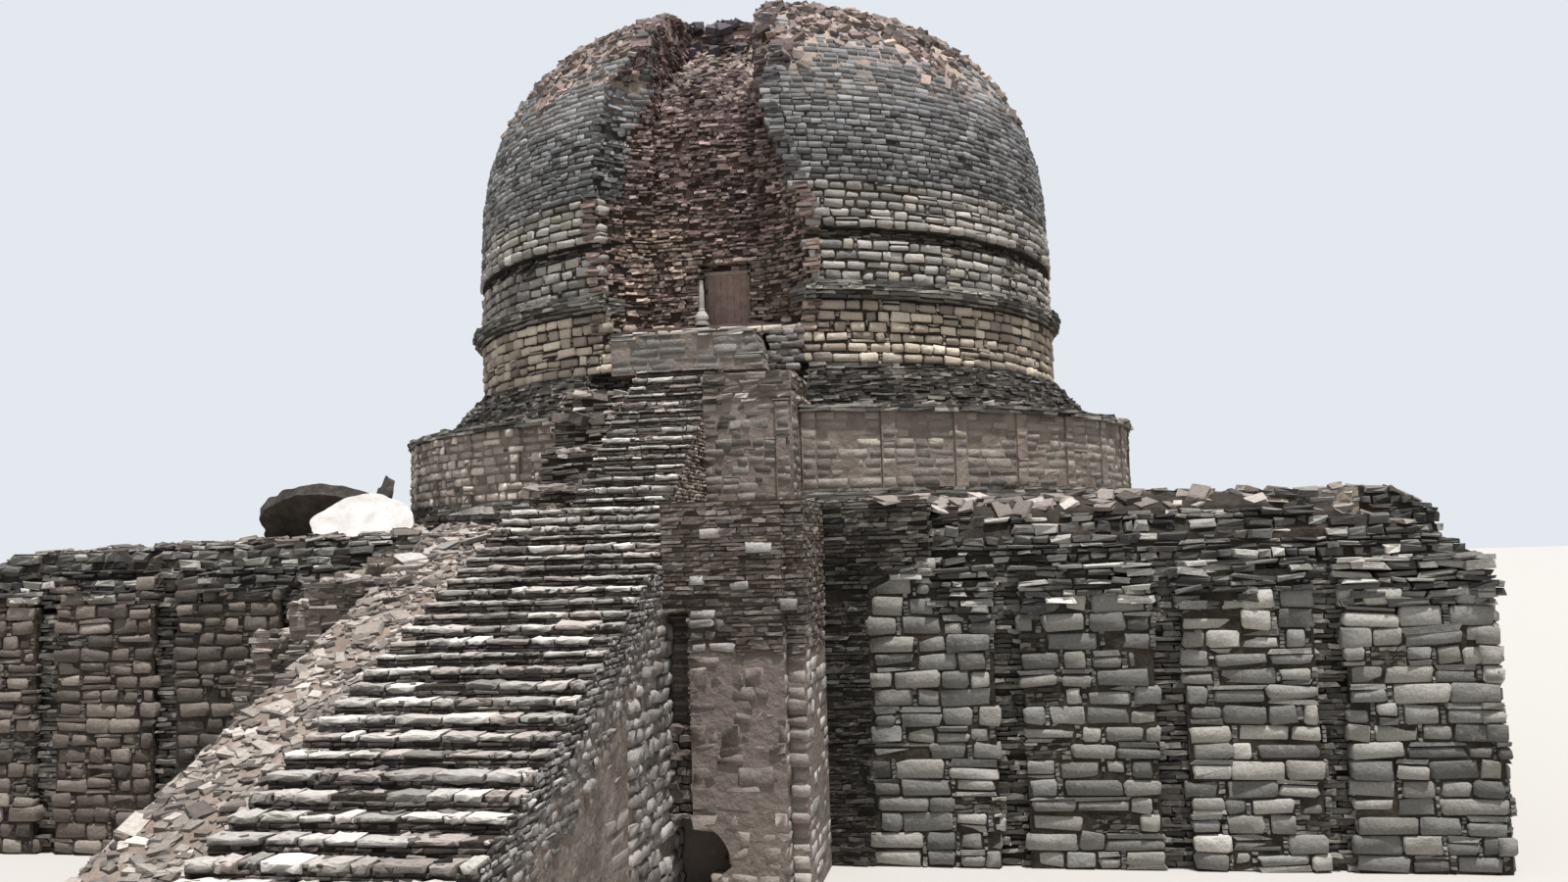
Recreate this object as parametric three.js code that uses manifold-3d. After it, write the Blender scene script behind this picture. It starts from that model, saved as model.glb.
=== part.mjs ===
// A ruined stone stupa: a square podium, a long stair in two flights, a low pilastered drum,
// a tall drum with a cornice, and a dome with a deep breach that holds a small plank door.
// Every size below is in metres of the real building. The root group scales it to a 1:2 model in millimetres.
// +Z is up. The origin is on the drum's axis at the foot of the podium. The stair climbs towards +Y.
import * as THREE from "three";
import { mergeVertices } from "three/addons/utils/BufferGeometryUtils.js";
import Module from "manifold-3d";

const modelScale = 1 / 2;
const millimetresPerMetre = 1000;
const joint = 0.001; // open joint between neighbouring pieces
const beyond = 2; // how far a cutting tool runs past what it cuts

// Podium
const podiumHalf = 19.05;
const podiumTop = 8.3;
const facingThickness = 1;
const coreHalf = podiumHalf - facingThickness;
const facingTop = 6.4; // the dressed facing survives to here, rubble above
const crownInner = 17; // the terrace is whole inside this half width
const grooveCentres = [8.8, 12.3, 15.7]; // lost pilasters, from the axis
const grooveWidth = 0.65;
const grooveDepth = 0.3;
const terraceWearEast = -5.2; // left of here the terrace has lost its paving

// Stair
const stairAxis = -0.58;
const lowerHalfWidth = 2.215;
const lowerSteps = 38;
const lowerGoing = 0.509;
const upperHalfWidth = 1.285;
const upperSteps = 15;
const upperFoot = -17.9; // y of the first riser
const upperHead = -11.42; // y where the last tread meets the wall under the door
const upperTop = 12.62;
const bay = { west: -3.9, east: 3.2 }; // the projection of the lower drum that carries this flight
const treadDepth = 0.55; // masonry of the steps above the flight's core
const flankThickness = 0.6;

// Piers beside the stair
const pierProjection = 3.15;
const pierRight = 4.64;
const quoinWidth = 0.42;
const quoinSetBack = 0.3;
const sleeveWest = -5.6; // the pier on the left survives to here

// Lower drum
const drumRadius = 13.34;
const drumBaseTop = 8.9;
const drumWallTop = 11.1;
const drumCapTop = 11.3;
const drumInner = 12.4;
const pilasterCount = 36;
const pilasterWidth = 0.42;
const pilasterProud = 0.07;

// Tall drum and dome
const bodyRadius = 10.8;
const shellThickness = 1;
const bodyInner = bodyRadius - shellThickness;
const bandTop = 12.85; // rough core between the two drums
const cornicePlan = { radius: 11.15, low: 14.85, high: 15.4 };
const lostCourse = { low: 16.75, high: 17.1, depth: 0.28 };
const springing = 18.6;
const domeRise = 8.3;
const domeFlatness = [2.4, 2.88]; // exponents of the dome's curve
const roundSteps = 60;
const smallSteps = 16; // facets of the door's round parts

const domeBands = 10;

// Breach, passage and door
const breachFloor = 13.87;
const doorStep = 14.38;
const patch = { west: -2.8, east: 2, low: 12.63, high: 13.85, front: -11.4 };
const passage = { west: -0.49, east: 1.06, low: 14.42, high: 16.28, front: -8.44, inner: -4.9 };
const frameBar = 0.12;
const frameDepth = 0.16;
const leafThickness = 0.05;
const leafPlay = 0.012; // 6 mm in the model, between the leaf and its frame
const heelRadius = 0.032;
const pivotRadius = 0.014;
const pivotPlay = 0.011;
const socketDepth = 0.06;

const wasm = await Module();
wasm.setup();
const { Manifold, Mesh: SolidMesh } = wasm;

const stone = (colour, roughness = 0.95) =>
  new THREE.MeshStandardMaterial({ color: colour, roughness, metalness: 0 });
const finishes = {
  ashlar: stone(0x7d7264),
  rubble: stone(0x5f564c),
  slab: stone(0x8f8578),
  render: stone(0x968470),
  tan: stone(0xa88a66),
  redCore: stone(0x6a4a3c),
  domeGrey: stone(0x6e6a66),
  timber: new THREE.MeshStandardMaterial({ color: 0x5b3b30, roughness: 0.85, metalness: 0 }),
  iron: new THREE.MeshStandardMaterial({ color: 0x2c2724, roughness: 0.7, metalness: 0.6 }),
};

// A closed three.js geometry as a solid, with its shared corners merged and its empty faces dropped.
function solidOf(geometry) {
  const bare = geometry.index ? geometry.toNonIndexed() : geometry.clone();
  bare.deleteAttribute("normal");
  bare.deleteAttribute("uv");
  const merged = mergeVertices(bare, 1e-5);
  const corners = merged.index.array;
  const kept = [];
  for (let i = 0; i < corners.length; i += 3) {
    const [a, b, c] = [corners[i], corners[i + 1], corners[i + 2]];
    if (a !== b && b !== c && c !== a) kept.push(a, b, c);
  }
  return new Manifold(
    new SolidMesh({
      numProp: 3,
      vertProperties: new Float32Array(merged.attributes.position.array),
      triVerts: new Uint32Array(kept),
    }),
  );
}

// A solid as a named mesh of the model.
function piece(name, solid, material) {
  const { vertProperties, triVerts } = solid.getMesh();
  const geometry = new THREE.BufferGeometry()
    .setAttribute("position", new THREE.BufferAttribute(new Float32Array(vertProperties), 3))
    .setIndex(new THREE.BufferAttribute(new Uint32Array(triVerts), 1));
  geometry.computeVertexNormals();
  const mesh = new THREE.Mesh(geometry, material);
  mesh.name = name;
  return mesh;
}

const shapeOf = (points) => new THREE.Shape(points.map(([a, b]) => new THREE.Vector2(a, b)));
const extrusion = (points, depth) =>
  new THREE.ExtrudeGeometry(shapeOf(points), { depth, bevelEnabled: false });

// Plan outline (x, y) raised from low to high.
const upright = (points, low, high) =>
  solidOf(extrusion(points, high - low).translate(0, 0, low));

// Side outline (y, z) run along X.
function across(points, west, east) {
  const turn = new THREE.Matrix4().makeBasis(
    new THREE.Vector3(0, 1, 0),
    new THREE.Vector3(0, 0, 1),
    new THREE.Vector3(1, 0, 0),
  );
  return solidOf(extrusion(points, east - west).applyMatrix4(turn).translate(west, 0, 0));
}

// Front outline (x, z) run along Y.
const along = (points, front, back) =>
  solidOf(extrusion(points, back - front).rotateX(Math.PI / 2).translate(0, back, 0));

const box = (west, east, front, back, low, high) =>
  solidOf(
    new THREE.BoxGeometry(east - west, back - front, high - low).translate(
      (west + east) / 2,
      (front + back) / 2,
      (low + high) / 2,
    ),
  );

// Closed outline of (radius, z), anticlockwise, turned about Z.
function turned(outline) {
  const points = [...outline, outline[0]].map(([r, z]) => new THREE.Vector2(r, z));
  return solidOf(new THREE.LatheGeometry(points, roundSteps).rotateX(Math.PI / 2));
}

const tube = (inner, outer, low, high) =>
  turned([
    [inner, low],
    [outer, low],
    [outer, high],
    [inner, high],
  ]);

// Upright cylinder, or a cone frustum where the top radius differs.
const drumSolid = (radius, low, high, topRadius = radius, steps = roundSteps) =>
  solidOf(
    new THREE.CylinderGeometry(topRadius, radius, high - low, steps)
      .rotateX(Math.PI / 2)
      .translate(0, 0, (low + high) / 2),
  );

const rod = (radius, low, high) => drumSolid(radius, low, high, radius, smallSteps);

// The sector of the plan between two right angles in degrees, drawn in a little at its cut faces.
function sector(from, to) {
  const reach = 40;
  const rounded = (value) => Math.round(value * 1e6) / 1e6;
  const start = THREE.MathUtils.degToRad(from);
  const end = THREE.MathUtils.degToRad(to);
  const middle = (start + end) / 2;
  const shift = joint / Math.sin((end - start) / 2);
  const corner = [Math.cos(middle) * shift, Math.sin(middle) * shift];
  const at = (angle) => [
    rounded(corner[0] + Math.cos(angle) * reach * 2),
    rounded(corner[1] + Math.sin(angle) * reach * 2),
  ];
  const third = (end - start) / 3;
  return upright([corner, at(start), at(start + third), at(end - third), at(end)], -1, reach);
}

const sectors = [
  ["front_left", 180, 270],
  ["front_right", 270, 360],
  ["back", 0, 180],
];

const inSectors = (name, solid, material) =>
  sectors.map(([where, from, to]) => piece(name + where, solid.intersect(sector(from, to)), material));

// Everything on the upper side of a plane through a point.
function over(normal, point) {
  const turn = new THREE.Quaternion().setFromUnitVectors(
    new THREE.Vector3(0, 0, 1),
    new THREE.Vector3(...normal).normalize(),
  );
  return solidOf(
    new THREE.BoxGeometry(200, 200, 60)
      .translate(0, 0, 30)
      .applyQuaternion(turn)
      .translate(...point),
  );
}

// Room for the round cores that other pieces are fitted against.
const lowerCoreRoom = drumSolid(drumInner + joint, podiumTop - 1, drumCapTop + joint);
const bandRoom = drumSolid(drumInner - 0.15 + joint, drumCapTop, bandTop, bodyRadius + 0.15 + joint);

// Podium

// The worn part of the terrace, above a plane that falls to the left and to the front.
function terraceWear(clearance) {
  const fall = [-0.025, -0.0127, 1];
  return over(fall, [-9, -17, 7.84 + clearance])
    .intersect(box(-40, terraceWearEast - clearance, -40, 40, podiumTop - beyond, 40))
    .subtract(drumSolid(drumRadius + 0.45 + clearance, 0, 40));
}

// A facing wall on the front side, from west to east, with its ruined top as (x, z) points.
function facing(west, east, grooves, top) {
  const outline = [[west, 0], [east, 0], ...top];
  let wall = along(outline, -podiumHalf, -coreHalf - joint);
  for (const x of grooves)
    wall = wall.subtract(
      box(
        x - grooveWidth / 2,
        x + grooveWidth / 2,
        -podiumHalf - beyond,
        -podiumHalf + grooveDepth,
        -beyond,
        podiumTop + beyond,
      ),
    );
  return wall;
}

// A ragged top edge that steps between the given levels, from east to west.
function raggedTop(east, west, levels) {
  const points = [];
  const run = (east - west) / levels.length;
  levels.forEach((level, i) => {
    points.push([east - run * i, level], [east - run * (i + 1), level]);
  });
  return points;
}

const allGrooves = [...grooveCentres, ...grooveCentres.map((x) => -x)];
const sideGrooves = [...allGrooves, 5.3, -5.3, 1.8, -1.8];
const restoredEast = 7.1;
const brokenLevels = [5.3, 6.2, 6.5, 6.35, 6.6, 6.4];
const plainLevels = [6.45, 6.6, 6.3, 6.55, 6.35, 6.6, 6.4, 6.5];

function podium() {
  const ledge = facingTop - 0.2;
  const core = box(-coreHalf, coreHalf, -coreHalf, coreHalf, 0, ledge)
    .add(box(-crownInner, crownInner, -crownInner, crownInner, ledge - 0.5, podiumTop))
    .add(box(sleeveWest, restoredEast, -coreHalf, 0, ledge - 0.5, podiumTop))
    .subtract(terraceWear(0));
  const frontRight = facing(stairAxis + joint / 2, podiumHalf, grooveCentres, [
    ...raggedTop(podiumHalf, restoredEast, brokenLevels),
    [restoredEast, podiumTop],
    [stairAxis + joint / 2, podiumTop],
  ]);
  const frontLeft = facing(-podiumHalf, stairAxis - joint / 2, grooveCentres.map((x) => -x), [
    [stairAxis - joint / 2, podiumTop],
    [sleeveWest, podiumTop],
    ...raggedTop(sleeveWest, -podiumHalf, [6.55, 6.5, 6.3, 6.1, 5.8]),
  ]);
  const sideEnd = coreHalf;
  const side = facing(-sideEnd, sideEnd, sideGrooves, raggedTop(sideEnd, -sideEnd, plainLevels));
  const back = facing(
    -podiumHalf,
    podiumHalf,
    sideGrooves,
    raggedTop(podiumHalf, -podiumHalf, [5.9, ...plainLevels, 5.7]),
  );
  const placed = (name, solid, turns) => {
    const mesh = piece(name, solid, finishes.ashlar);
    mesh.rotation.z = (turns * Math.PI) / 2;
    return mesh;
  };
  return [
    piece("podium_core", core, finishes.rubble),
    piece("podium_front_wall_right", frontRight, finishes.ashlar),
    piece("podium_front_wall_left", frontLeft.subtract(terraceWear(0)), finishes.ashlar),
    placed("podium_right_wall", side, 1),
    placed("podium_back_wall", back, 2),
    placed("podium_left_wall", side, 3),
    ...crowns(),
  ];
}

// The rubble that is left of the podium's upper edge, sloping down towards the outside.
function crownRun(west, east, corners) {
  const low = 6.6 + joint;
  const section = [
    [-crownInner - joint, low],
    [-crownInner - joint, podiumTop],
    [-17.7, 8.22],
    [-18.3, 7.95],
    [-18.65, 7.35],
    [-18.8, low],
  ];
  // A broken corner comes down in three falls: (distance from the corner, height).
  const falls = [[0, low + 0.15], [1.3, 7.45], [3.4, 7.85], [5, podiumTop]];
  const whole = [[0, podiumTop]];
  const outline = [
    [west, low - beyond],
    [east, low - beyond],
    ...(corners[1] ? falls : whole).map(([inward, z]) => [east - inward, z]),
    ...(corners[0] ? falls : whole).map(([inward, z]) => [west + inward, z]).reverse(),
  ];
  return across(section, west, east).intersect(along(outline, -40, 0));
}

function crowns() {
  const corner = 18.8;
  const turnedRun = (run, turns) => run.rotate([0, 0, 90 * turns]);
  const side = crownRun(-crownInner, corner, [false, false]);
  const back = turnedRun(crownRun(-corner, corner, [true, true]), 2);
  const right = turnedRun(side, 1);
  const left = right.mirror([1, 0, 0]);
  return [
    piece(
      "crown_front_right",
      crownRun(restoredEast + joint, corner, [false, true]),
      finishes.rubble,
    ),
    piece(
      "crown_front_left",
      crownRun(-corner, sleeveWest - joint, [true, false]).subtract(terraceWear(0)),
      finishes.rubble,
    ),
    piece("crown_back", back.add(right).add(left).subtract(terraceWear(0)), finishes.rubble),
  ];
}

// Stair

// The (y, z) outline of a flight's steps over a sloping underside.
function stepOutline(foot, going, rise, count, floor, depth) {
  const points = [];
  for (let i = 0; i < count; i++) {
    points.push([foot + going * i, floor + rise * i], [foot + going * i, floor + rise * (i + 1)]);
  }
  const head = foot + going * count;
  points.push([head, floor + rise * count]);
  points.push([head, floor + rise * count - depth]);
  points.push([foot + (going * depth) / rise, floor]);
  return points.reverse();
}

function lowerFlight() {
  const head = -podiumHalf - joint;
  const foot = head - lowerGoing * lowerSteps;
  const rise = podiumTop / lowerSteps;
  const west = stairAxis - lowerHalfWidth;
  const east = stairAxis + lowerHalfWidth;
  const underFoot = foot + (lowerGoing * treadDepth) / rise + joint * 3;
  const wedge = (from, to) =>
    across([[underFoot, 0], [head, 0], [head, podiumTop - treadDepth - joint * 2]], from, to);
  const flight = stepOutline(foot, lowerGoing, rise, lowerSteps, 0, treadDepth);
  return [
    piece("lower_flight", across(flight, west, east), finishes.slab),
    piece("lower_flank_right", wedge(east - flankThickness, east), finishes.render),
    piece("lower_flight_core", wedge(west, east - flankThickness - joint), finishes.rubble),
  ];
}

// What the upper flight and its piers take out of the lower drum.
const upperBay = box(bay.west - joint, bay.east + joint, -20, -10, podiumTop - beyond, 14);

function upperFlight() {
  const rise = (upperTop - podiumTop) / upperSteps;
  const going = (upperHead - upperFoot) / upperSteps;
  const floor = podiumTop + joint;
  const outline = [[upperHead, floor]];
  for (let i = upperSteps; i > 0; i--) {
    outline.push([upperFoot + going * i, floor + rise * i], [upperFoot + going * (i - 1), floor + rise * i]);
  }
  outline.push([upperFoot, floor]);
  const mass = across(outline.reverse(), stairAxis - upperHalfWidth, stairAxis + upperHalfWidth);
  return [piece("upper_flight", mass.subtract(lowerCoreRoom), finishes.slab)];
}

// Piers

function rightPier() {
  const west = stairAxis + lowerHalfWidth + joint;
  const front = -podiumHalf - pierProjection;
  const back = -podiumHalf - joint;
  const quoin = pierRight - quoinWidth;
  const plan = [
    [west, back],
    [west, front],
    [quoin, front],
    [quoin, front + quoinSetBack],
    [pierRight, front + quoinSetBack],
    [pierRight, back],
  ];
  const lostPilaster = box(west - 1, 2.2, front - beyond, front + 0.6, -1, 6);
  // The worn hollow at the foot, under a broken arch.
  const hollow = new THREE.Shape();
  hollow.moveTo(3, -0.5);
  hollow.absarc(2.1, 0.72, 0.9, 0, Math.PI * 0.72);
  hollow.lineTo(west - 0.2, 0.9);
  hollow.lineTo(west - 0.2, -0.5);
  const arch = new THREE.ExtrudeGeometry(hollow, {
    depth: 1.2 + beyond,
    bevelEnabled: false,
    curveSegments: 10,
  });
  arch.rotateX(Math.PI / 2).translate(0, front + 1.2, 0);
  const mass = upright(plan, 0, podiumTop).subtract(lostPilaster).subtract(solidOf(arch));
  return [piece("lower_pier_right", mass, finishes.rubble)];
}

// On the left the pier has fallen to a stepped heap, and its stones bank up along the stair.
function leftPier() {
  const east = stairAxis - lowerHalfWidth - joint;
  const back = -podiumHalf - joint;
  const layers = [
    { west: -10, front: -20.2, top: 3.2 },
    { west: -9.3, front: -20.6, top: 4.9 },
    { west: -8.5, front: -21.1, top: 5.6 },
    { west: -7.4, front: -21.5, top: 6.3 },
    { west: -6.5, front: -22.2, top: 6.8 },
    { west: -5.8, front: -20.8, top: 7.3 },
    { west: -5.6, front: -19.7, top: 7.8 },
  ];
  let mass = bank(east, back);
  for (const { west, front, top } of layers) mass = mass.add(box(west, east, front, back, 0, top));
  return [piece("lower_pier_left_ruin", mass, finishes.rubble)];
}

// The bank of fallen stones: level with the stair beside it, then falling away to the left.
function bank(east, back) {
  const slope = podiumTop / (lowerGoing * lowerSteps);
  const foot = -podiumHalf - lowerGoing * lowerSteps + 0.6;
  const crestWest = -4.8;
  const fall = 1.05;
  const side = box(-14, east, foot - 1, back, 0, podiumTop);
  return side
    .subtract(over([0, -slope, 1], [0, foot, 0]))
    .subtract(over([-fall, -slope, 1], [crestWest, foot, 0]));
}

// The projections of the lower drum on both sides of the upper flight.
function upperPiers() {
  const floor = podiumTop + joint;
  const west = stairAxis + upperHalfWidth + joint;
  const right = box(west, bay.east, -14.14, -11.42, floor, 12.15)
    .add(box(2.75, 3.14, -14.23, -14.1, floor, 11.2))
    .subtract(lowerCoreRoom)
    .subtract(bandRoom);
  const layers = [
    { front: -15.5, top: 9 },
    { front: -14.5, top: 10.1 },
    { front: -13.4, top: 11.1 },
    { front: -12.5, top: 11.8 },
  ];
  const east = stairAxis - upperHalfWidth - joint;
  let left = box(bay.west, east, -12.6, -11.42, floor, 11.9);
  for (const { front, top } of layers) left = left.add(box(bay.west, east, front, -11.42, floor, top));
  return [
    piece("upper_pier_right", right, finishes.render),
    piece("upper_pier_left_ruin", left.subtract(lowerCoreRoom).subtract(bandRoom), finishes.rubble),
  ];
}

// Lower drum

// The plan ring of the drum's wall with its slender pilasters, as one outline.
function pilasterRing() {
  const outer = [];
  const half = pilasterWidth / 2 / drumRadius;
  const proud = drumRadius + pilasterProud;
  for (let i = 0; i < pilasterCount; i++) {
    const middle = ((i + 0.5) / pilasterCount) * Math.PI * 2;
    const next = ((i + 1) / pilasterCount) * Math.PI * 2;
    for (const [angle, radius] of [
      [middle - half, drumRadius],
      [middle - half, proud],
      [middle + half, proud],
      [middle + half, drumRadius],
      [next, drumRadius],
    ])
      outer.push([Math.cos(angle) * radius, Math.sin(angle) * radius]);
  }
  return upright(outer, drumBaseTop + joint, drumWallTop).subtract(lowerCoreRoom);
}

function lowerDrum() {
  const floor = podiumTop + joint;
  const inner = drumInner + joint;
  const base = turned([
    [inner, floor],
    [drumRadius + 0.34, floor],
    [drumRadius + 0.34, floor + 0.16],
    [drumRadius + 0.2, floor + 0.24],
    [drumRadius + 0.2, floor + 0.38],
    [drumRadius + 0.08, floor + 0.5],
    [drumRadius + 0.08, drumBaseTop],
    [inner, drumBaseTop],
  ]);
  const cap = tube(inner, drumRadius + 0.1, drumWallTop + joint, drumCapTop);
  return [
    piece("lower_drum_core", drumSolid(drumInner, floor, drumCapTop), finishes.rubble),
    piece("lower_drum_base_moulding", base.subtract(upperBay), finishes.slab),
    ...inSectors("lower_drum_wall_", pilasterRing().subtract(upperBay), finishes.render),
    piece("lower_drum_cap", cap.subtract(upperBay), finishes.slab),
  ];
}

// Tall drum and dome

// The dome's curve as a formula: radius at a share of its height.
const domeRadius = (share, radius) => {
  const [rising, closing] = domeFlatness;
  return radius * (1 - share ** rising) ** (1 / closing);
};

// The solid under the dome's curve, set in from the outer face and standing on a plain drum.
function domed(inset, low) {
  const radius = bodyRadius - inset;
  const rise = domeRise - inset;
  const points = [new THREE.Vector2(0, low)];
  if (low < springing) points.push(new THREE.Vector2(radius, low));
  for (let i = 0; i < domeBands; i++) {
    const share = 1 - (1 - i / domeBands) ** 1.7;
    points.push(new THREE.Vector2(domeRadius(share, radius), springing + rise * share));
  }
  points.push(new THREE.Vector2(0, springing + rise));
  return solidOf(new THREE.LatheGeometry(points, roundSteps).rotateX(Math.PI / 2));
}

// What treasure hunters dug out of the front, up to the summit.
function breach() {
  const front = along(
    [
      [-3.3, breachFloor],
      [3, breachFloor],
      [3.2, 15.3],
      [3.1, 17.5],
      [2.8, 18.8],
      [2.2, 20.2],
      [1.9, 21.5],
      [2.1, 23.2],
      [1.9, 30],
      [-1.7, 30],
      [-2.3, 24],
      [-3, 22.9],
      [-3.6, 22.4],
      [-3.7, 20],
      [-3.5, 17],
    ],
    -13,
    0,
  );
  const depth = across(
    [
      [-13, breachFloor],
      [-10.3, breachFloor],
      [-9.9, 14.15],
      [-9.4, doorStep],
      [-9, doorStep],
      [-9, 17],
      [-8.7, 19.5],
      [-8.3, 21.5],
      [-7.4, 22.8],
      [-6, 23.9],
      [-4.4, 24.9],
      [-3, 25.8],
      [-2.4, 30],
      [-13, 30],
    ],
    -5,
    5,
  );
  const plan = upright(
    [
      [-5, -13],
      [5, -13],
      [3.1, -10],
      [2.3, -9.3],
      [1.5, -9],
      [1.5, 0],
      [-2.1, 0],
      [-2.1, -8.9],
      [-2.9, -9.3],
      [-3.7, -10.1],
    ],
    breachFloor,
    30,
  );
  return front.intersect(depth).intersect(plan);
}

function tallDrum(hollow) {
  const inner = bodyInner + joint;
  const seat = box(patch.west - joint, patch.east + joint, -13, -9, patch.low - joint, breachFloor);
  const band = drumSolid(drumInner - 0.15, drumCapTop + joint, bandTop, bodyRadius + 0.15)
    .subtract(upperBay)
    .subtract(seat);
  const lowerWall = tube(inner, bodyRadius, bandTop + joint, cornicePlan.low - joint);
  const cornice = turned([
    [inner, cornicePlan.low],
    [bodyRadius + 0.08, cornicePlan.low],
    [cornicePlan.radius - 0.1, cornicePlan.low + 0.14],
    [cornicePlan.radius, cornicePlan.low + 0.26],
    [cornicePlan.radius, cornicePlan.high - 0.06],
    [cornicePlan.radius - 0.12, cornicePlan.high],
    [inner, cornicePlan.high],
  ]).subtract(hollow);
  const upperWall = turned([
    [inner, cornicePlan.high + joint],
    [bodyRadius, cornicePlan.high + joint],
    [bodyRadius, lostCourse.low],
    [bodyRadius - lostCourse.depth, lostCourse.low],
    [bodyRadius - lostCourse.depth, lostCourse.high],
    [bodyRadius + 0.05, lostCourse.high],
    [bodyRadius + 0.05, lostCourse.high + 0.9],
    [bodyRadius, lostCourse.high + 1],
    [bodyRadius, springing - joint],
    [inner, springing - joint],
  ]).subtract(hollow);
  const onWest = box(-40, -joint / 2, -40, 40, -1, 40);
  const onEast = box(joint / 2, 40, -40, 40, -1, 40);
  return [
    piece("core_band", band, finishes.rubble),
    ...inSectors("tall_drum_lower_wall_", lowerWall.subtract(hollow).subtract(seat), finishes.tan),
    piece("cornice_left", cornice.intersect(onWest), finishes.slab),
    piece("cornice_right", cornice.intersect(onEast), finishes.slab),
    ...inSectors("tall_drum_upper_wall_", upperWall, finishes.ashlar),
  ];
}

function dome(hollow) {
  const shell = domed(0, springing).subtract(domed(shellThickness - joint, springing - 1));
  const niche = box(-0.62, 1.24, -13, passage.front, doorStep, passage.high + 0.2);
  const tunnel = box(
    passage.west,
    passage.east,
    passage.front - 1,
    passage.inner,
    passage.low,
    passage.high,
  );
  const core = domed(shellThickness, bandTop + joint)
    .subtract(hollow)
    .subtract(niche)
    .subtract(tunnel);
  const crest = drumSolid(3.5, 25.4, 27.1, 2.8, 11)
    .translate([-1.6, 0.8, 0])
    .add(drumSolid(2, 25.6, 27.45, 1.3, 9).translate([1.3, 0.6, 0]))
    .subtract(domed(-joint, springing))
    .subtract(hollow);
  return [
    piece("dome_core", core, finishes.redCore),
    ...inSectors("dome_shell_", shell.subtract(hollow), finishes.domeGrey),
    piece("summit_rubble", crest, finishes.rubble),
  ];
}

// The coursed wall that was built up again under the door, with its right end slanting.
function doorPatch() {
  const outline = [
    [patch.west, patch.low],
    [patch.east, patch.low],
    [patch.east - 0.32, patch.high],
    [patch.west, patch.high],
  ];
  const wall = along(outline, patch.front, -9).subtract(drumSolid(bodyInner + joint, 10, 15));
  return piece("door_patch_wall", wall, finishes.render);
}

// Door

const leafFront = passage.front - 0.062;
const hinge = { x: 0.985, y: leafFront };

function doorFrame() {
  const west = passage.west + joint;
  const east = passage.east - joint;
  const low = passage.low + joint;
  const high = passage.high - joint;
  const back = passage.front + frameDepth;
  const jambs = box(west, east, passage.front, back, low, high);
  const sill = box(west, east, leafFront - 0.05, back, low, low + frameBar);
  const lintel = box(west, east, leafFront - 0.05, back, high - frameBar, high);
  const clear = box(west + frameBar, east - frameBar, -20, 0, low + frameBar, high - frameBar);
  const sockets = rod(pivotRadius + pivotPlay, low + frameBar - socketDepth, high - frameBar + socketDepth);
  const frame = jambs
    .add(sill)
    .add(lintel)
    .subtract(clear)
    .subtract(sockets.translate([hinge.x, hinge.y, 0]));
  return piece("door_frame", frame, finishes.timber);
}

// The leaf is drawn about its hinge line, and its group carries it to the frame.
function doorLeaf() {
  const low = passage.low + frameBar + joint + leafPlay;
  const high = passage.high - frameBar - joint - leafPlay;
  const edge = -0.03;
  const width = 1.36;
  const boards = box(edge - width, edge, 0, leafThickness, low, high);
  const heel = rod(heelRadius, low, high);
  const bridge = box(edge - 0.01, 0, 0, heelRadius * 0.8, low, high);
  // The lower pivot stands on the floor of its socket.
  const pivots = rod(pivotRadius, low - leafPlay - socketDepth, high + leafPlay + socketDepth - 0.02);
  let leaf = boards.add(heel).add(bridge).add(pivots);
  for (const share of [0.16, 0.5, 0.84]) {
    const middle = low + (high - low) * share;
    leaf = leaf.add(
      box(edge - width + 0.13, edge - 0.13, leafThickness - 0.01, leafThickness + 0.03, middle - 0.06, middle + 0.06),
    );
  }
  const mesh = piece("door_leaf", leaf, finishes.timber);
  mesh.position.set(hinge.x, hinge.y, 0);
  return mesh;
}

// The carved stone post, reused beside the door: a bulb on a square foot, with a slender shaft.
function sidePost() {
  const foot = doorStep + joint;
  const points = [
    [0, 0],
    [0.23, 0],
    [0.23, 0.09],
    [0.17, 0.12],
    [0.22, 0.2],
    [0.22, 0.28],
    [0.16, 0.4],
    [0.1, 0.46],
    [0.11, 0.5],
    [0.09, 0.54],
    [0.085, 1.1],
    [0.06, 1.3],
    [0.065, 1.46],
    [0, 1.46],
  ].map(([r, z]) => new THREE.Vector2(r, z));
  const post = solidOf(new THREE.LatheGeometry(points, smallSteps).rotateX(Math.PI / 2));
  return piece("door_side_post", post.translate([-0.4, -9.38, foot]), finishes.slab);
}

// Fallen umbrella stones on the left of the terrace: discs, half sunk where they lie.
function fallenStones() {
  const terrace = box(-40, 0, -40, 0, podiumTop + joint, 20).add(terraceWear(joint));
  const disc = (radius, thickness, tilt, turn, place) =>
    solidOf(
      new THREE.CylinderGeometry(radius, radius * 0.97, thickness, 40)
        .rotateX(Math.PI / 2)
        .rotateX(THREE.MathUtils.degToRad(tilt))
        .rotateZ(THREE.MathUtils.degToRad(turn))
        .translate(...place),
    ).intersect(terrace);
  const slab = solidOf(
    new THREE.BoxGeometry(1.9, 1.1, 0.28)
      .rotateY(THREE.MathUtils.degToRad(-16))
      .translate(-6, -15.6, podiumTop - 0.07),
  ).intersect(terrace);
  return [
    piece("fallen_disc_rear", disc(3, 0.35, -40, 0, [-12.3, -9.9, 7.6]), finishes.slab),
    piece("fallen_disc_front", disc(1.85, 0.3, 48, 0, [-10, -13.8, 7.8]), finishes.slab),
    piece("fallen_disc_leaning", disc(1.15, 0.25, 72, -52, [-11.7, -9, 8.92]), finishes.slab),
    piece("fallen_slab", slab, finishes.slab),
  ];
}

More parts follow.
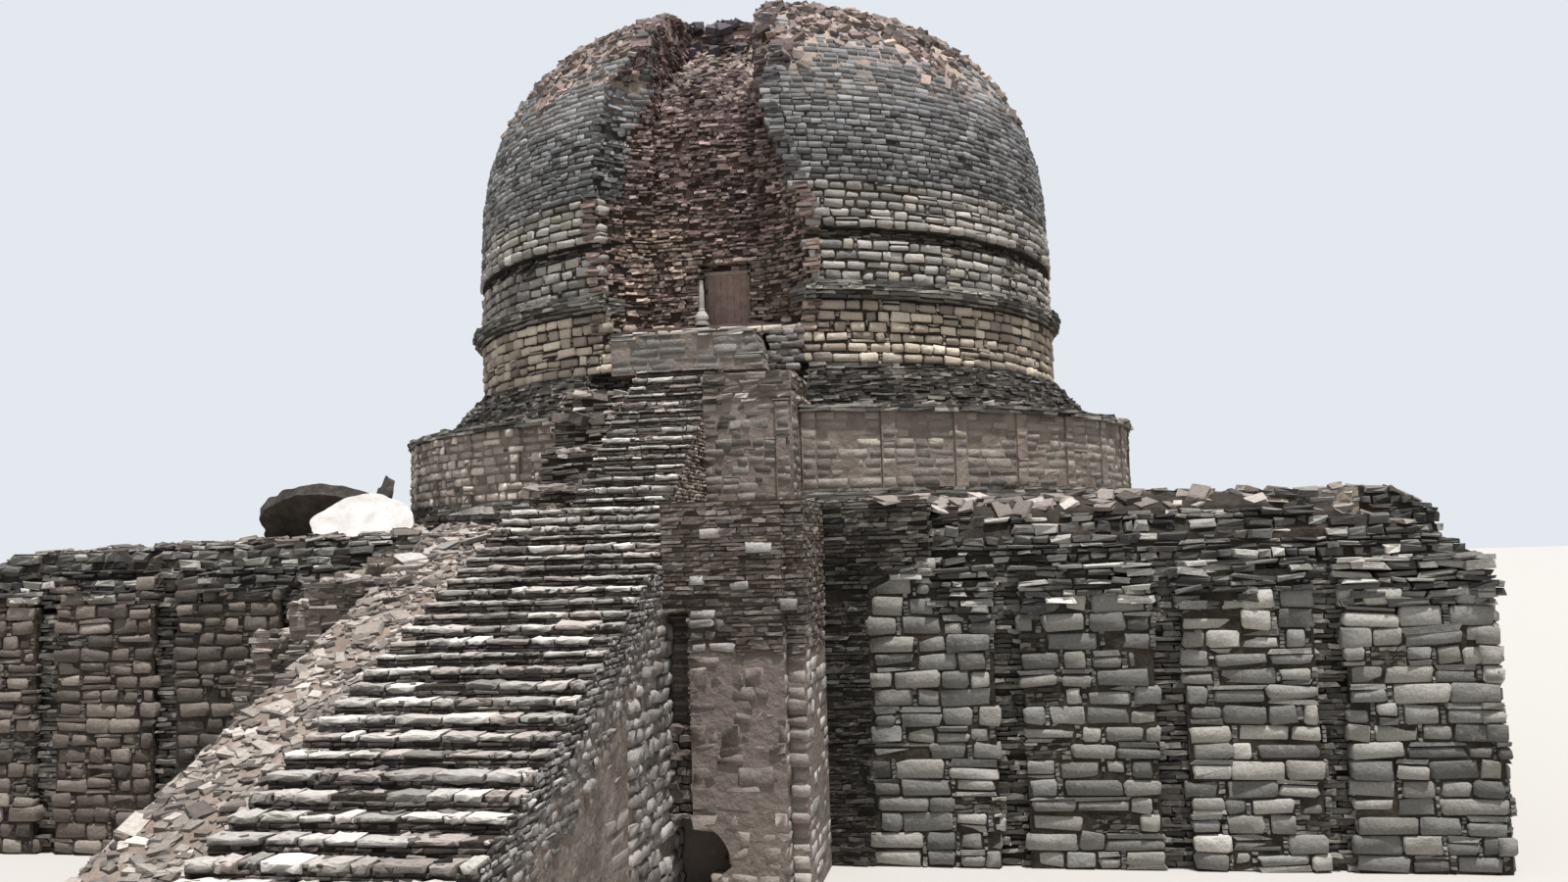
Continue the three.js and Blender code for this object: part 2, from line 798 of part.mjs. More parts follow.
const group = new THREE.Group();
const hollow = breach();
group.add(
  ...podium(),
  ...lowerFlight(),
  ...upperFlight(),
  ...rightPier(),
  ...leftPier(),
  ...upperPiers(),
  ...lowerDrum(),
  ...tallDrum(hollow),
  ...dome(hollow),
  doorPatch(),
  doorFrame(),
  doorLeaf(),
  sidePost(),
  ...fallenStones(),
);
group.scale.setScalar(millimetresPerMetre * modelScale);

export default group;
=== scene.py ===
# Looks for the ruined stupa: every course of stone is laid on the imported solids.
import functools
import math

import bmesh
import bpy
import numpy as np
from mathutils import Matrix, Vector, noise
from mathutils.bvhtree import BVHTree


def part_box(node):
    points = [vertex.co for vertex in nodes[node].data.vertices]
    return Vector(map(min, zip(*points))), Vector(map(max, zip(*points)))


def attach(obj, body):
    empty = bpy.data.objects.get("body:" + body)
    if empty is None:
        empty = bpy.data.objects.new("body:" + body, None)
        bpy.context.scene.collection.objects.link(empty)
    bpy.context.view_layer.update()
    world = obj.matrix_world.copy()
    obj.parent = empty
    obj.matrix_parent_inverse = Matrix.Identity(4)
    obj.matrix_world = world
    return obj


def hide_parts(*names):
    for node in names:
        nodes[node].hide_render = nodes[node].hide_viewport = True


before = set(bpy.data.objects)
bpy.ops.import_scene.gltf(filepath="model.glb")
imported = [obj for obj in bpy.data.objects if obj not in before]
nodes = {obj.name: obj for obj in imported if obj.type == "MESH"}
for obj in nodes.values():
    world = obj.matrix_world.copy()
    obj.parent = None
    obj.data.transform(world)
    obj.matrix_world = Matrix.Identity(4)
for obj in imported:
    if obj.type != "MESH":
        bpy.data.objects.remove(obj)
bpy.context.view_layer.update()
realMetre = 0.5  # the model is 1:2, so the sizes below are real metres times this
noise.seed_set(89)  # noise_vector would otherwise differ from run to run


def linearColour(hexText):
    parts = [int(hexText[i:i + 2], 16) / 255 for i in (1, 3, 5)]
    return [p / 12.92 if p <= 0.04045 else ((p + 0.055) / 1.055) ** 2.4 for p in parts]


def rgba(hexText):
    return (*linearColour(hexText), 1)


def addObject(name, data):
    made = bpy.data.objects.new(name, data)
    bpy.context.collection.objects.link(made)
    return made


def meshFrom(bm, name):
    mesh = bpy.data.meshes.new(name)
    bm.to_mesh(mesh)
    bm.free()
    return mesh


# Camera and stage

camera = {
    "place": (8.908, -48.566, 7.315),  # real metres from the drum's axis, at the photographer's eye
    "yawDegrees": 9.8,  # left of the stair's direction
    "pitchDegrees": 4.7,
    "rollDegrees": -1.66,
    "lens": 29.25,
    "sensorWidth": 36,
    "farthest": 400,
}


def placeCamera():
    data = bpy.data.cameras.new("photoCamera")
    data.lens = camera["lens"]
    data.sensor_width = camera["sensorWidth"]
    data.clip_end = camera["farthest"]
    eye = addObject("photoCamera", data)
    yaw = math.radians(camera["yawDegrees"])
    pitch = math.radians(camera["pitchDegrees"])
    turn = Matrix.Rotation(yaw, 4, "Z") @ Matrix.Rotation(math.pi / 2 + pitch, 4, "X")
    turn = turn @ Matrix.Rotation(math.radians(camera["rollDegrees"]), 4, "Z")
    eye.matrix_world = Matrix.Translation(Vector(camera["place"]) * realMetre) @ turn
    bpy.context.scene.camera = eye


stage = {
    "floorSize": 400, "floorColour": "#a5a29c", "floorRoughness": 0.9,
    "skyColour": "#e9eef5", "skyStrength": 0.7, "backdropStrength": 0.95,
}
lights = {
    # azimuth from +Y towards +X and elevation of the source in degrees
    "key": {"azimuth": 140, "elevation": 75, "strength": 6.4, "softness": 2.5, "colour": "#fbf9fa"},
    "fill": {"azimuth": 200, "elevation": 25, "strength": 0.2, "softness": 60, "colour": "#e9eef6"},
}


def setStage():
    bm = bmesh.new()
    bmesh.ops.create_grid(bm, x_segments=1, y_segments=1, size=stage["floorSize"] / 2)
    mesh = meshFrom(bm, "floor")
    floor = addObject("floor", mesh)
    material = bpy.data.materials.new("floorPaint")
    material.use_nodes = True
    shader = material.node_tree.nodes["Principled BSDF"]
    shader.inputs["Base Color"].default_value = rgba(stage["floorColour"])
    shader.inputs["Roughness"].default_value = stage["floorRoughness"]
    mesh.materials.append(material)
    bpy.context.scene.view_settings.view_transform = "Standard"
    world = bpy.data.worlds.new("sky")
    bpy.context.scene.world = world
    world.use_nodes = True
    background = world.node_tree.nodes["Background"]
    background.inputs["Color"].default_value = rgba(stage["skyColour"])
    # The backdrop is brighter to the eye than it is to the stones, which keeps their joints dark.
    seen = world.node_tree.nodes.new("ShaderNodeLightPath")
    strength = world.node_tree.nodes.new("ShaderNodeMapRange")
    strength.inputs["To Min"].default_value = stage["skyStrength"]
    strength.inputs["To Max"].default_value = stage["backdropStrength"]
    world.node_tree.links.new(seen.outputs["Is Camera Ray"], strength.inputs["Value"])
    world.node_tree.links.new(strength.outputs["Result"], background.inputs["Strength"])
    for name, spec in lights.items():
        data = bpy.data.lights.new(name, "SUN")
        data.energy = spec["strength"]
        data.angle = math.radians(spec["softness"])
        data.color = linearColour(spec["colour"])
        lamp = addObject(name, data)
        azimuth = math.radians(spec["azimuth"])
        elevation = math.radians(spec["elevation"])
        source = Vector((
            math.sin(azimuth) * math.cos(elevation),
            math.cos(azimuth) * math.cos(elevation),
            math.sin(elevation),
        ))
        lamp.rotation_euler = source.to_track_quat("Z", "Y").to_euler()


placeCamera()
setStage()
print("camera and stage placed")


# Materials


# Adds one node to a material. Inputs are values or the output sockets that feed them.
def addNode(material, kind, inputs, **settings):
    tree = material.node_tree
    node = tree.nodes.new(kind)
    for name, value in settings.items():
        setattr(node, name, value)
    for key, value in inputs.items():
        if isinstance(value, bpy.types.NodeSocket):
            tree.links.new(value, node.inputs[key])
        else:
            node.inputs[key].default_value = value
    return node


# The sockets of a colour Mix node.
mixFactor, mixFrom, mixTo, mixResult = 0, 6, 7, 2

mottleRange = (0.36, 0.64)  # the part of the noise between the two colours of a finish
grainRange = (0.3, 0.7)  # the part of the noise that darkens and lightens it
patchEdge = 0.09  # how softly a patch fades in
grainDepth = 0.12  # of a bump, as a share of its width
lumpDepth = 0.16
dullness = {"roughness": 0.92, "gloss": 0.25}


# The scale of a noise whose lumps are this many real millimetres across, on the 1:2 model.
def lumpScale(realMillimetres):
    return 1000 / (realMillimetres * realMetre)


# Weathered stone. Grain, lichen and dirt lie over a ground, which is the colour that comes with
# each block, or a mottle of the finish's own two colours.
def stoneMaterial(name, spec):
    material = bpy.data.materials.new(name)
    material.use_nodes = True
    shader = material.node_tree.nodes["Principled BSDF"]
    place = addNode(material, "ShaderNodeTexCoord", {}).outputs["Object"]
    if "colours" in spec:
        mottle = addNode(
            material, "ShaderNodeTexNoise",
            {"Vector": place, "Scale": lumpScale(spec["mottle"]), "Detail": 5, "Roughness": 0.6},
        ).outputs["Fac"]
        spread = addNode(
            material, "ShaderNodeMapRange",
            {"Value": mottle, "From Min": mottleRange[0], "From Max": mottleRange[1]},
        ).outputs["Result"]
        dark, light = map(rgba, spec["colours"])
        ground = addNode(
            material, "ShaderNodeMix", {mixFactor: spread, mixFrom: dark, mixTo: light}, data_type="RGBA",
        ).outputs[mixResult]
    else:
        ground = addNode(material, "ShaderNodeAttribute", {}, attribute_name="tint").outputs["Color"]
    if "soilFrom" in spec:
        height = addNode(material, "ShaderNodeSeparateXYZ", {"Vector": place}).outputs["Z"]
        soily = addNode(
            material, "ShaderNodeMapRange",
            {
                "Value": height, "From Min": spec["soilFrom"][0] * realMetre,
                "From Max": spec["soilFrom"][1] * realMetre, "To Min": 1, "To Max": 0,
            },
        ).outputs["Result"]
        ground = addNode(
            material, "ShaderNodeMix",
            {mixFactor: soily, mixFrom: ground, mixTo: rgba(spec["damp"])}, data_type="RGBA",
        ).outputs[mixResult]
    # Split stone shows its bedding as fine level streaks, so the grain is pressed flat.
    flat = addNode(
        material, "ShaderNodeMapping",
        {"Vector": place, "Scale": (1, 1, spec["bedding"])},
    ).outputs["Vector"]
    grain = addNode(
        material, "ShaderNodeTexNoise",
        {"Vector": flat, "Scale": lumpScale(spec["grain"]), "Detail": 7, "Roughness": 0.68},
    ).outputs["Fac"]
    shade = addNode(
        material, "ShaderNodeMapRange",
        {
            "Value": grain, "From Min": grainRange[0], "From Max": grainRange[1],
            "To Min": 1 - spec["contrast"], "To Max": 1 + spec["contrast"],
        },
    ).outputs["Result"]
    colour = addNode(
        material, "ShaderNodeVectorMath", {0: ground, "Scale": shade}, operation="SCALE",
    ).outputs["Vector"]
    for lumps, hexText, threshold, strength in spec.get("patches", []):
        cloud = addNode(
            material, "ShaderNodeTexNoise",
            {"Vector": place, "Scale": lumpScale(lumps), "Detail": 6, "Roughness": 0.7},
        ).outputs["Fac"]
        cover = addNode(
            material, "ShaderNodeMapRange",
            {"Value": cloud, "From Min": threshold, "From Max": threshold + patchEdge, "To Max": strength},
        ).outputs["Result"]
        colour = addNode(
            material, "ShaderNodeMix",
            {mixFactor: cover, mixFrom: colour, mixTo: rgba(hexText)}, data_type="RGBA",
        ).outputs[mixResult]
    lumpy = addNode(
        material, "ShaderNodeTexNoise",
        {"Vector": place, "Scale": lumpScale(spec["lumps"]), "Detail": 3, "Roughness": 0.55},
    ).outputs["Fac"]
    fine = addNode(
        material, "ShaderNodeBump",
        {"Height": grain, "Strength": spec["relief"], "Distance": spec["grain"] / 1000 * grainDepth},
    ).outputs["Normal"]
    coarse = addNode(
        material, "ShaderNodeBump",
        {
            "Height": lumpy, "Normal": fine, "Strength": spec["relief"],
            "Distance": spec["lumps"] / 1000 * lumpDepth,
        },
    ).outputs["Normal"]
    links = material.node_tree.links
    links.new(colour, shader.inputs["Base Color"])
    links.new(coarse, shader.inputs["Normal"])
    shader.inputs["Roughness"].default_value = spec.get("roughness", dullness["roughness"])
    shader.inputs["Specular IOR Level"].default_value = dullness["gloss"]
    return material


# Sizes are in real millimetres. A patch has a size, a colour, the share of the noise that it
# starts at and its strength.
finishSpecs = {
    # Rough split schist: level streaks, grey lichen and dark damp spots.
    "splitSchist": dict(
        grain=90, lumps=160, contrast=0.3, relief=0.7, bedding=3.5,
        patches=[(500, "#8f8d84", 0.6, 0.4), (260, "#2b2824", 0.66, 0.55)],
    ),
    # Hammer-dressed granite and schist blocks: rounder lumps, pale lichen blooms.
    "dressedBlocks": dict(
        grain=60, lumps=220, contrast=0.24, relief=0.75, bedding=1.4,
        patches=[(420, "#9a968a", 0.6, 0.35), (300, "#3a352e", 0.64, 0.5)],
    ),
    # Grey lichened dome courses: bluish crust in small scabs.
    "lichenedBlocks": dict(
        grain=55, lumps=150, contrast=0.26, relief=0.7, bedding=1.6,
        patches=[(330, "#8d9096", 0.58, 0.4), (200, "#33323a", 0.62, 0.5)],
    ),
    # Dark red-brown core slabs with soil on them: dry, dull and streaky.
    "coreSlabs": dict(
        grain=70, lumps=140, contrast=0.32, relief=0.8, bedding=3,
        patches=[(380, "#83726a", 0.6, 0.4), (240, "#241d1b", 0.62, 0.6)],
    ),
    # Mud in the open joints: nearly black brown, so that each course is outlined.
    "jointMud": dict(
        mottle=500, colours=("#1f1b17", "#38322a"),
        grain=80, lumps=200, contrast=0.35, relief=0.9, bedding=1,
    ),
    # Red-brown earth between the core slabs.
    "coreMud": dict(
        mottle=600, colours=("#2a1f1a", "#46382f"),
        grain=90, lumps=260, contrast=0.35, relief=1, bedding=2,
    ),
    # Old lime and mud render, worn to a soft grey-brown skin with damp clouds.
    "mudRender": dict(
        mottle=900, colours=("#665d55", "#82786f"),
        grain=45, lumps=300, contrast=0.16, relief=0.6, bedding=1,
        patches=[(700, "#938a80", 0.6, 0.4), (500, "#463f39", 0.6, 0.5)],
    ),
    # The pier: bare mud joints above, and below a worn pinkish-grey render.
    "pierRender": dict(
        mottle=700, colours=("#2f2823", "#463d35"),
        soilFrom=(4.9, 5.3), damp="#71675f",
        grain=50, lumps=260, contrast=0.24, relief=0.8, bedding=1.3,
        patches=[(600, "#8b8078", 0.6, 0.3), (350, "#453d38", 0.6, 0.5)],
    ),
    # The stair's flank: render scabbed with whitish lichen and dark runs of damp.
    "flankRender": dict(
        mottle=600, colours=("#5a514a", "#776d64"),
        grain=50, lumps=240, contrast=0.3, relief=0.9, bedding=0.6,
        patches=[(170, "#b0a89f", 0.6, 0.5), (260, "#2f2a25", 0.58, 0.6)],
    ),
    # Trodden earth with grit on the terraces.
    "terraceEarth": dict(
        mottle=1600, colours=("#7f7466", "#968b7c"),
        grain=60, lumps=400, contrast=0.22, relief=0.8, bedding=1,
        patches=[(300, "#6d5f4e", 0.62, 0.5)],
    ),
    # Loose pale earth washed down between the rubble of the bank.
    "bankEarth": dict(
        mottle=900, colours=("#6a5e53", "#82756a"),
        grain=40, lumps=200, contrast=0.3, relief=1, bedding=1,
    ),
    # Old door boards: red-brown, silvered by sun, with fine upright grain.
    "doorTimber": dict(
        mottle=250, colours=("#7d6860", "#8f7b71"),
        grain=30, lumps=60, contrast=0.28, relief=0.5, bedding=0.12,
        patches=[(200, "#8a7d74", 0.62, 0.4)], roughness=0.8,
    ),
    # Sawn frame timber, greyer and paler than the boards.
    "frameTimber": dict(
        mottle=300, colours=("#877a6d", "#9c9084"),
        grain=30, lumps=60, contrast=0.22, relief=0.5, bedding=0.15,
        roughness=0.8,
    ),
    # Pale smooth granite of the big umbrella disc, painted light all over, partly its own pale colour and
    # partly a painted highlight for its sunlit face.
    "paleDiscPaintedSunlit": dict(
        mottle=500, colours=("#aaa6a1", "#bfbbb6"),
        grain=50, lumps=400, contrast=0.1, relief=0.35, bedding=1,
        patches=[(330, "#77726c", 0.62, 0.5)], roughness=0.85,
    ),
    # The discs behind it: painted dark grey, a painted shade for their shaded undersides, with paler worn
    # rims.
    "discPaintedShade": dict(
        mottle=400, colours=("#2e2b28", "#45413c"),
        grain=60, lumps=300, contrast=0.25, relief=0.5, bedding=1,
        patches=[(300, "#77726a", 0.62, 0.5)],
    ),
    # Light grey carved stone of the post and the fallen slab.
    "greyCarving": dict(
        mottle=300, colours=("#8e8a83", "#a5a19a"),
        grain=40, lumps=200, contrast=0.2, relief=0.4, bedding=2,
        patches=[(200, "#5c5852", 0.64, 0.5)],
    ),
    # Soil that has settled on top of the dome: pinkish brown and crumbly.
    "domeSoil": dict(
        mottle=900, colours=("#8f8175", "#a6978a"),
        soilFrom=(21, 23.5), damp="#2c2825",
        grain=70, lumps=250, contrast=0.3, relief=1, bedding=1.5,
        patches=[(400, "#5e5552", 0.58, 0.6)],
    ),
}
finishes = {name: stoneMaterial(name, spec) for name, spec in finishSpecs.items()}


# Every solid stays and gets the finish that shows between and behind its stones, by the start of
# its name. The rest have mud in their joints.
backing = {
    "dome_shell_": "domeSoil",
    "dome_core": "coreMud",
    "summit_rubble": "coreMud",
    "lower_drum_wall_": "mudRender",
    "upper_pier_right": "mudRender",
    "door_patch_wall": "mudRender",
    "lower_pier_right": "pierRender",
    "lower_flank_right": "flankRender",
    "podium_core": "terraceEarth",
    "lower_drum_core": "terraceEarth",
    "lower_pier_left_ruin": "bankEarth",
    "door_leaf": "doorTimber",
    "door_frame": "frameTimber",
    "fallen_disc_front": "paleDiscPaintedSunlit",
    "fallen_disc_": "discPaintedShade",
    "door_side_post": "greyCarving",
    "fallen_slab": "greyCarving",
}


def dressSolids():
    for name, solid in nodes.items():
        matching = [finish for start, finish in backing.items() if name.startswith(start)]
        solid.data.materials.clear()
        solid.data.materials.append(finishes[(matching + ["jointMud"])[0]])


dressSolids()
print("materials made")


# Stone forms

outermost = 0.9  # corners past this are on that side of a form
creased = 1  # edges that turn by more than this are corners of a form


# Faces as corner numbers, in an order that is the same in every run.
def orderedFaces(bm):
    bm.verts.index_update()
    faces = []
    for face in bm.faces:
        corners = [v.index for v in face.verts]
        first = corners.index(min(corners))
        faces.append(corners[first:] + corners[:first])
    return np.array(sorted(faces))


# A form is a stone two units across with +X as its face, that is stretched to each stone's size.
# Everything in its rim, the outer share of each side, keeps a fixed size, so corners stay round.
def stoneForm(rim, bevelled, cuts=0):
    bm = bmesh.new()
    bmesh.ops.create_cube(bm, size=2)
    if cuts:
        alongEdges = [e for e in bm.edges if abs(e.verts[0].co.y - e.verts[1].co.y) > 1]
        bmesh.ops.subdivide_edges(bm, edges=alongEdges, cuts=cuts, use_grid_fill=True)
    if bevelled != "none":
        chosen = []
        for edge in bm.edges:
            sharp = edge.calc_face_angle(0) > creased
            atBack = all(v.co.x < -outermost for v in edge.verts)
            atFace = all(v.co.x > outermost for v in edge.verts)
            atTop = all(v.co.z > outermost for v in edge.verts)
            wanted = {"top": atTop, "front": atFace, "sides": not atBack}[bevelled]
            if sharp and wanted:
                chosen.append(edge)
        bmesh.ops.bevel(
            bm, geom=chosen, offset=rim, offset_type="OFFSET", segments=1, profile=0.5,
            affect="EDGES", material=-1,
        )
    bmesh.ops.recalc_face_normals(bm, faces=bm.faces)
    bmesh.ops.triangulate(bm, faces=bm.faces)
    form = {
        "points": np.array([v.co[:] for v in bm.verts]),
        "faces": orderedFaces(bm),
        "rim": rim,
    }
    bm.free()
    return form


forms = {
    "block": stoneForm(0.3, "sides"),
    "facing": stoneForm(0.3, "front"),
    "slab": stoneForm(0.3, "none", 1),
    "chip": stoneForm(0.3, "none"),
    "lump": stoneForm(0.3, "front"),
    "clod": stoneForm(0.3, "top"),
    "longSlab": stoneForm(0.22, "front", 3),
}
roundForms = ("block", "facing")
# How far the corners of each form stray, as a share of the stone's size.
skews = {
    "block": 0.04, "facing": 0.035, "slab": 0.08, "chip": 0.1, "lump": 0.12, "clod": 0.12, "longSlab": 0.03,
}
roughLimit = 2  # the farthest stray of a corner, in the spreads of its draw
skewLimit = 1.7


roundest = 0.45  # the largest radius, as a share of a stone's smallest half size
roughest = 0.2


# A stone is one row: centre, outward, along, up, half sizes, rim radius, roughness and colour.
def addStone(batch, form, centre, outward, along, up, half, radius, rough, colour):
    radius = min(radius, roundest * min(half))
    rough = min(rough, roughest * min(half))
    batch.setdefault(form, []).append([*centre, *outward, *along, *up, *half, radius, rough, *colour])


def addPiece(name, mesh, finish, body):
    mesh.materials.append(finishes[finish])
    piece = addObject(name, mesh)
    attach(piece, body)
    print(name, len(mesh.polygons), "faces")
    return piece


# All the stones of a batch as one mesh, with the colour of each in its attribute. Stones can be
# painted lighter on top, partly dust and partly a painted highlight, and darker below, a painted
# shade. No stone goes below the ground.
def layMesh(name, batch, finish, draws, dustAndPaintedLight=0):
    points, faces, tints, softs = [], [], [], []
    count = 0
    for form, rows in batch.items():
        shape = forms[form]["points"]
        rim = forms[form]["rim"]
        table = np.array(rows)
        centre, outward, along, up, half = (table[:, i:i + 3][:, None] for i in (0, 3, 6, 9, 12))
        radius = table[:, 15][:, None, None]
        rough = table[:, 16][:, None, None]
        size = np.abs(shape)[None]
        inner = 1 - rim
        inRim = np.clip((size - inner) / rim, 0, 1)
        middle = size / inner * (half - radius)
        edge = half - radius + inRim * radius
        local = np.sign(shape)[None] * np.where(size >= inner - 1e-6, edge, middle)
        local = local + np.clip(draws.normal(0, 1, local.shape), -roughLimit, roughLimit) * rough
        stray = np.clip(draws.normal(0, 1, local.shape), -skewLimit, skewLimit)
        local = local * (1 + stray * skews[form])
        world = centre + local[..., 0:1] * outward + local[..., 1:2] * along + local[..., 2:3] * up
        world[..., 2] = np.maximum(world[..., 2], 0)
        each = shape.shape[0]
        starts = count + np.arange(len(rows)) * each
        points.append(world.reshape(-1, 3))
        faces.append((forms[form]["faces"][None] + starts[:, None, None]).reshape(-1, 3))
        # Painted light: the tint rises towards each stone's top and falls towards its foot, a painted
        # highlight and a painted shade, partly also dust on the tops.
        tints.append((table[:, None, 17:20] * (1 + dustAndPaintedLight * shape[None, :, 2:3])).reshape(-1, 3))
        softs.append(np.full(len(rows) * len(forms[form]["faces"]), form in roundForms))
        count += len(rows) * each
    points = np.concatenate(points) * realMetre
    faces = np.concatenate(faces)
    tints = np.concatenate(tints)
    mesh = bpy.data.meshes.new(name)
    mesh.vertices.add(len(points))
    mesh.vertices.foreach_set("co", points.ravel())
    mesh.loops.add(faces.size)
    mesh.loops.foreach_set("vertex_index", faces.ravel().astype(np.int32))
    mesh.polygons.add(len(faces))
    mesh.polygons.foreach_set("loop_start", np.arange(0, faces.size, 3, dtype=np.int32))
    mesh.update(calc_edges=True)
    mesh.polygons.foreach_set("use_smooth", np.concatenate(softs))
    layer = mesh.color_attributes.new("tint", "FLOAT_COLOR", "POINT")
    layer.data.foreach_set("color", np.hstack([tints, np.ones((len(tints), 1))]).ravel())
    addPiece(name, mesh, finish, "masonry")


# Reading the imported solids


def readSolid(name):
    mesh = nodes[name].data
    mesh.calc_loop_triangles()
    corners = np.zeros(len(mesh.vertices) * 3, np.float32)
    mesh.vertices.foreach_get("co", corners)
    merged, back = np.unique(corners.reshape(-1, 3), axis=0, return_inverse=True)
    index = np.zeros(len(mesh.loop_triangles) * 3, np.int32)
    mesh.loop_triangles.foreach_get("vertices", index)
    triangles = back.reshape(-1)[index].reshape(-1, 3)
    points = merged.astype(float) / realMetre
    a, b, c = (points[triangles[:, i]] for i in range(3))
    normals = np.cross(b - a, c - a)
    lengths = np.linalg.norm(normals, axis=1)
    kept = lengths > 1e-9
    return {
        "points": points,
        "triangles": triangles[kept],
        "normals": normals[kept] / lengths[kept, None],
    }


solids = {name: readSolid(name) for name in nodes}


# A tree of every solid but the named one, for telling which of its faces lie against a neighbour.
@functools.cache
def neighboursOf(name):
    points, triangles = [], []
    count = 0
    for other, solid in solids.items():
        if other == name:
            continue
        points.extend(map(tuple, solid["points"]))
        triangles.extend(map(tuple, solid["triangles"] + count))
        count += len(solid["points"])
    return BVHTree.FromPolygons(points, triangles)


# The outlines of a solid at a level, as closed chains that walk with the solid on their left.
def chainsAt(solid, level):
    heights = solid["points"][:, 2] - level
    heights[np.abs(heights) < 1e-6] = 1e-6
    above = heights[solid["triangles"]] > 0
    crossing = np.flatnonzero(above.any(1) & ~above.all(1))
    following = {}
    for i in crossing:
        corners = solid["triangles"][i]
        lone = int(np.flatnonzero(above[i] == (above[i].sum() == 1))[0])
        ends = []
        for other in ((lone + 1) % 3, (lone + 2) % 3):
            a, b = sorted((int(corners[lone]), int(corners[other])))
            share = heights[a] / (heights[a] - heights[b])
            ends.append(((a, b), solid["points"][a] * (1 - share) + solid["points"][b] * share))
        normal = solid["normals"][i]
        way = ends[1][1] - ends[0][1]
        if -normal[1] * way[0] + normal[0] * way[1] < 0:
            ends.reverse()
        following[ends[0][0]] = (ends[0][1], ends[1][0], ends[1][1], normal)
    chains = []
    while following:
        first, (start, key, end, normal) = next(iter(following.items()))
        del following[first]
        steps = [(start, end, normal)]
        while key in following:
            start, nextKey, end, normal = following.pop(key)
            steps.append((start, end, normal))
            key = nextKey
        chains.append(steps)
    return chains


# The chains cut into runs at their corners. A run has points, normals and lengths along it.
def runsAt(solid, level, corner=0.45):
    runs = []
    for steps in chainsAt(solid, level):
        steps = [s for s in steps if np.linalg.norm((s[1] - s[0])[:2]) > 1e-4]
        if not steps:
            continue
        ways = [(s[1] - s[0])[:2] / np.linalg.norm((s[1] - s[0])[:2]) for s in steps]
        closed = np.linalg.norm(steps[0][0] - steps[-1][1]) < 1e-3
        turns = []
        for i in range(len(steps)):
            before = ways[i - 1]
            turns.append(abs(math.atan2(
                before[0] * ways[i][1] - before[1] * ways[i][0],
                float(np.dot(before, ways[i])),
            )))
        breaks = [i for i in range(len(steps)) if turns[i] > corner or (i == 0 and not closed)]
        if not breaks:
            runs.append((steps, True))
            continue
        for i, first in enumerate(breaks):
            last = breaks[(i + 1) % len(breaks)]
            if last <= first:
                last += len(steps)
            runs.append(([steps[j % len(steps)] for j in range(first, last)], False))
    made = []
    for steps, isRing in runs:
        points = np.array([s[0] for s in steps] + [steps[-1][1]])
        lengths = np.linalg.norm(np.diff(points[:, :2], axis=0), axis=1)
        made.append({
            "points": points,
            "normals": np.array([s[2] for s in steps]),
            "reach": np.concatenate([[0], np.cumsum(lengths)]),
            "ring": isRing,
        })
    return made


# A distance before the start or past the end carries straight on.
def pointOn(run, distance):
    reach = run["reach"]
    i = min(max(int(np.searchsorted(reach, distance, side="right")) - 1, 0), len(reach) - 2)
    share = (distance - reach[i]) / (reach[i + 1] - reach[i])
    return run["points"][i] * (1 - share) + run["points"][i + 1] * share


def normalOn(run, distance):
    i = int(np.searchsorted(run["reach"], distance, side="right")) - 1
    return run["normals"][min(max(i, 0), len(run["normals"]) - 1)]


probe = {"step": 0.22, "back": 0.02, "reach": 0.3}


# The parts of a run that lie open and in the zone. A probe at each step looks for a neighbour.
def openStretches(run, zone, neighbours):
    total = run["reach"][-1]
    count = max(2, int(math.ceil(total / probe["step"])))
    marks = [(i + 0.5) * total / count for i in range(count)]
    isOpen = []
    for mark in marks:
        point = pointOn(run, mark)
        normal = normalOn(run, mark)
        good = zone is None or zone(point, normal)
        if good:
            way = Vector(normal)
            hit = neighbours.ray_cast(Vector(point) - way * probe["back"], way, probe["reach"])
            good = hit[0] is None
        isOpen.append(good)
    if all(isOpen):
        return [(0, total)]
    stretches = []
    begun = None
    for i, good in enumerate(isOpen + [False]):
        if good and begun is None:
            begun = i
        if not good and begun is not None:
            stretches.append((begun * total / count, i * total / count))
            begun = None
    return stretches


# Laying


# Dust and lichen pull every stone a little towards a cool grey, and the stones towards each other.
weatherCast = np.array([0.95, 1, 1.06])
sameness = 0.55


def palette(hexTexts):
    colours = [np.array(linearColour(text)) * weatherCast for text in hexTexts.split()]
    common = sum(colour / colour.sum() for colour in colours) / len(colours)
    return [colour * (1 - sameness) + common * colour.sum() * sameness for colour in colours]


darkestValue = 0.12
colourLimits = (0.004, 0.95)


def stoneColour(style, point, draws):
    colour = style["colours"][draws.integers(len(style["colours"]))]
    clouds = noise.noise(Vector(point) * 0.45) * style.get("clouds", 0.35)
    value = 1 + draws.normal() * style["spread"] + clouds
    # A style's factor by place scales each stone's colour: for the bare core it is the core's own tone,
    # beside the right pier it is a painted shade, and on the dome a painted highlight.
    if "toneAndPaintedLight" in style:
        value *= style["toneAndPaintedLight"](point)
    return np.clip(colour * np.maximum(value, darkestValue), *colourLimits)


upright = np.array([0, 0, 1.0])


def unit(way):
    return way / np.linalg.norm(way)


def levelled(way):
    return unit(np.array([way[0], way[1], 0]))


def squared(way, axis):
    return unit(way - axis * np.dot(way, axis))


shortestStone = 0.03
shortRest = 0.55  # a rest under this share of the shortest length goes to the last stone
thinnest = 0.3  # of the course's height
leastUp = 0.3  # the least that a stone's own up direction counts as rising
packingCourses = (0.1, 0.3)
# How much the measures of a style vary from stone to stone.
vary = {"joint": (0.5, 1.5), "bed": (0.4, 1.6), "depth": (0.85, 1.15), "radius": (0.7, 1.3)}
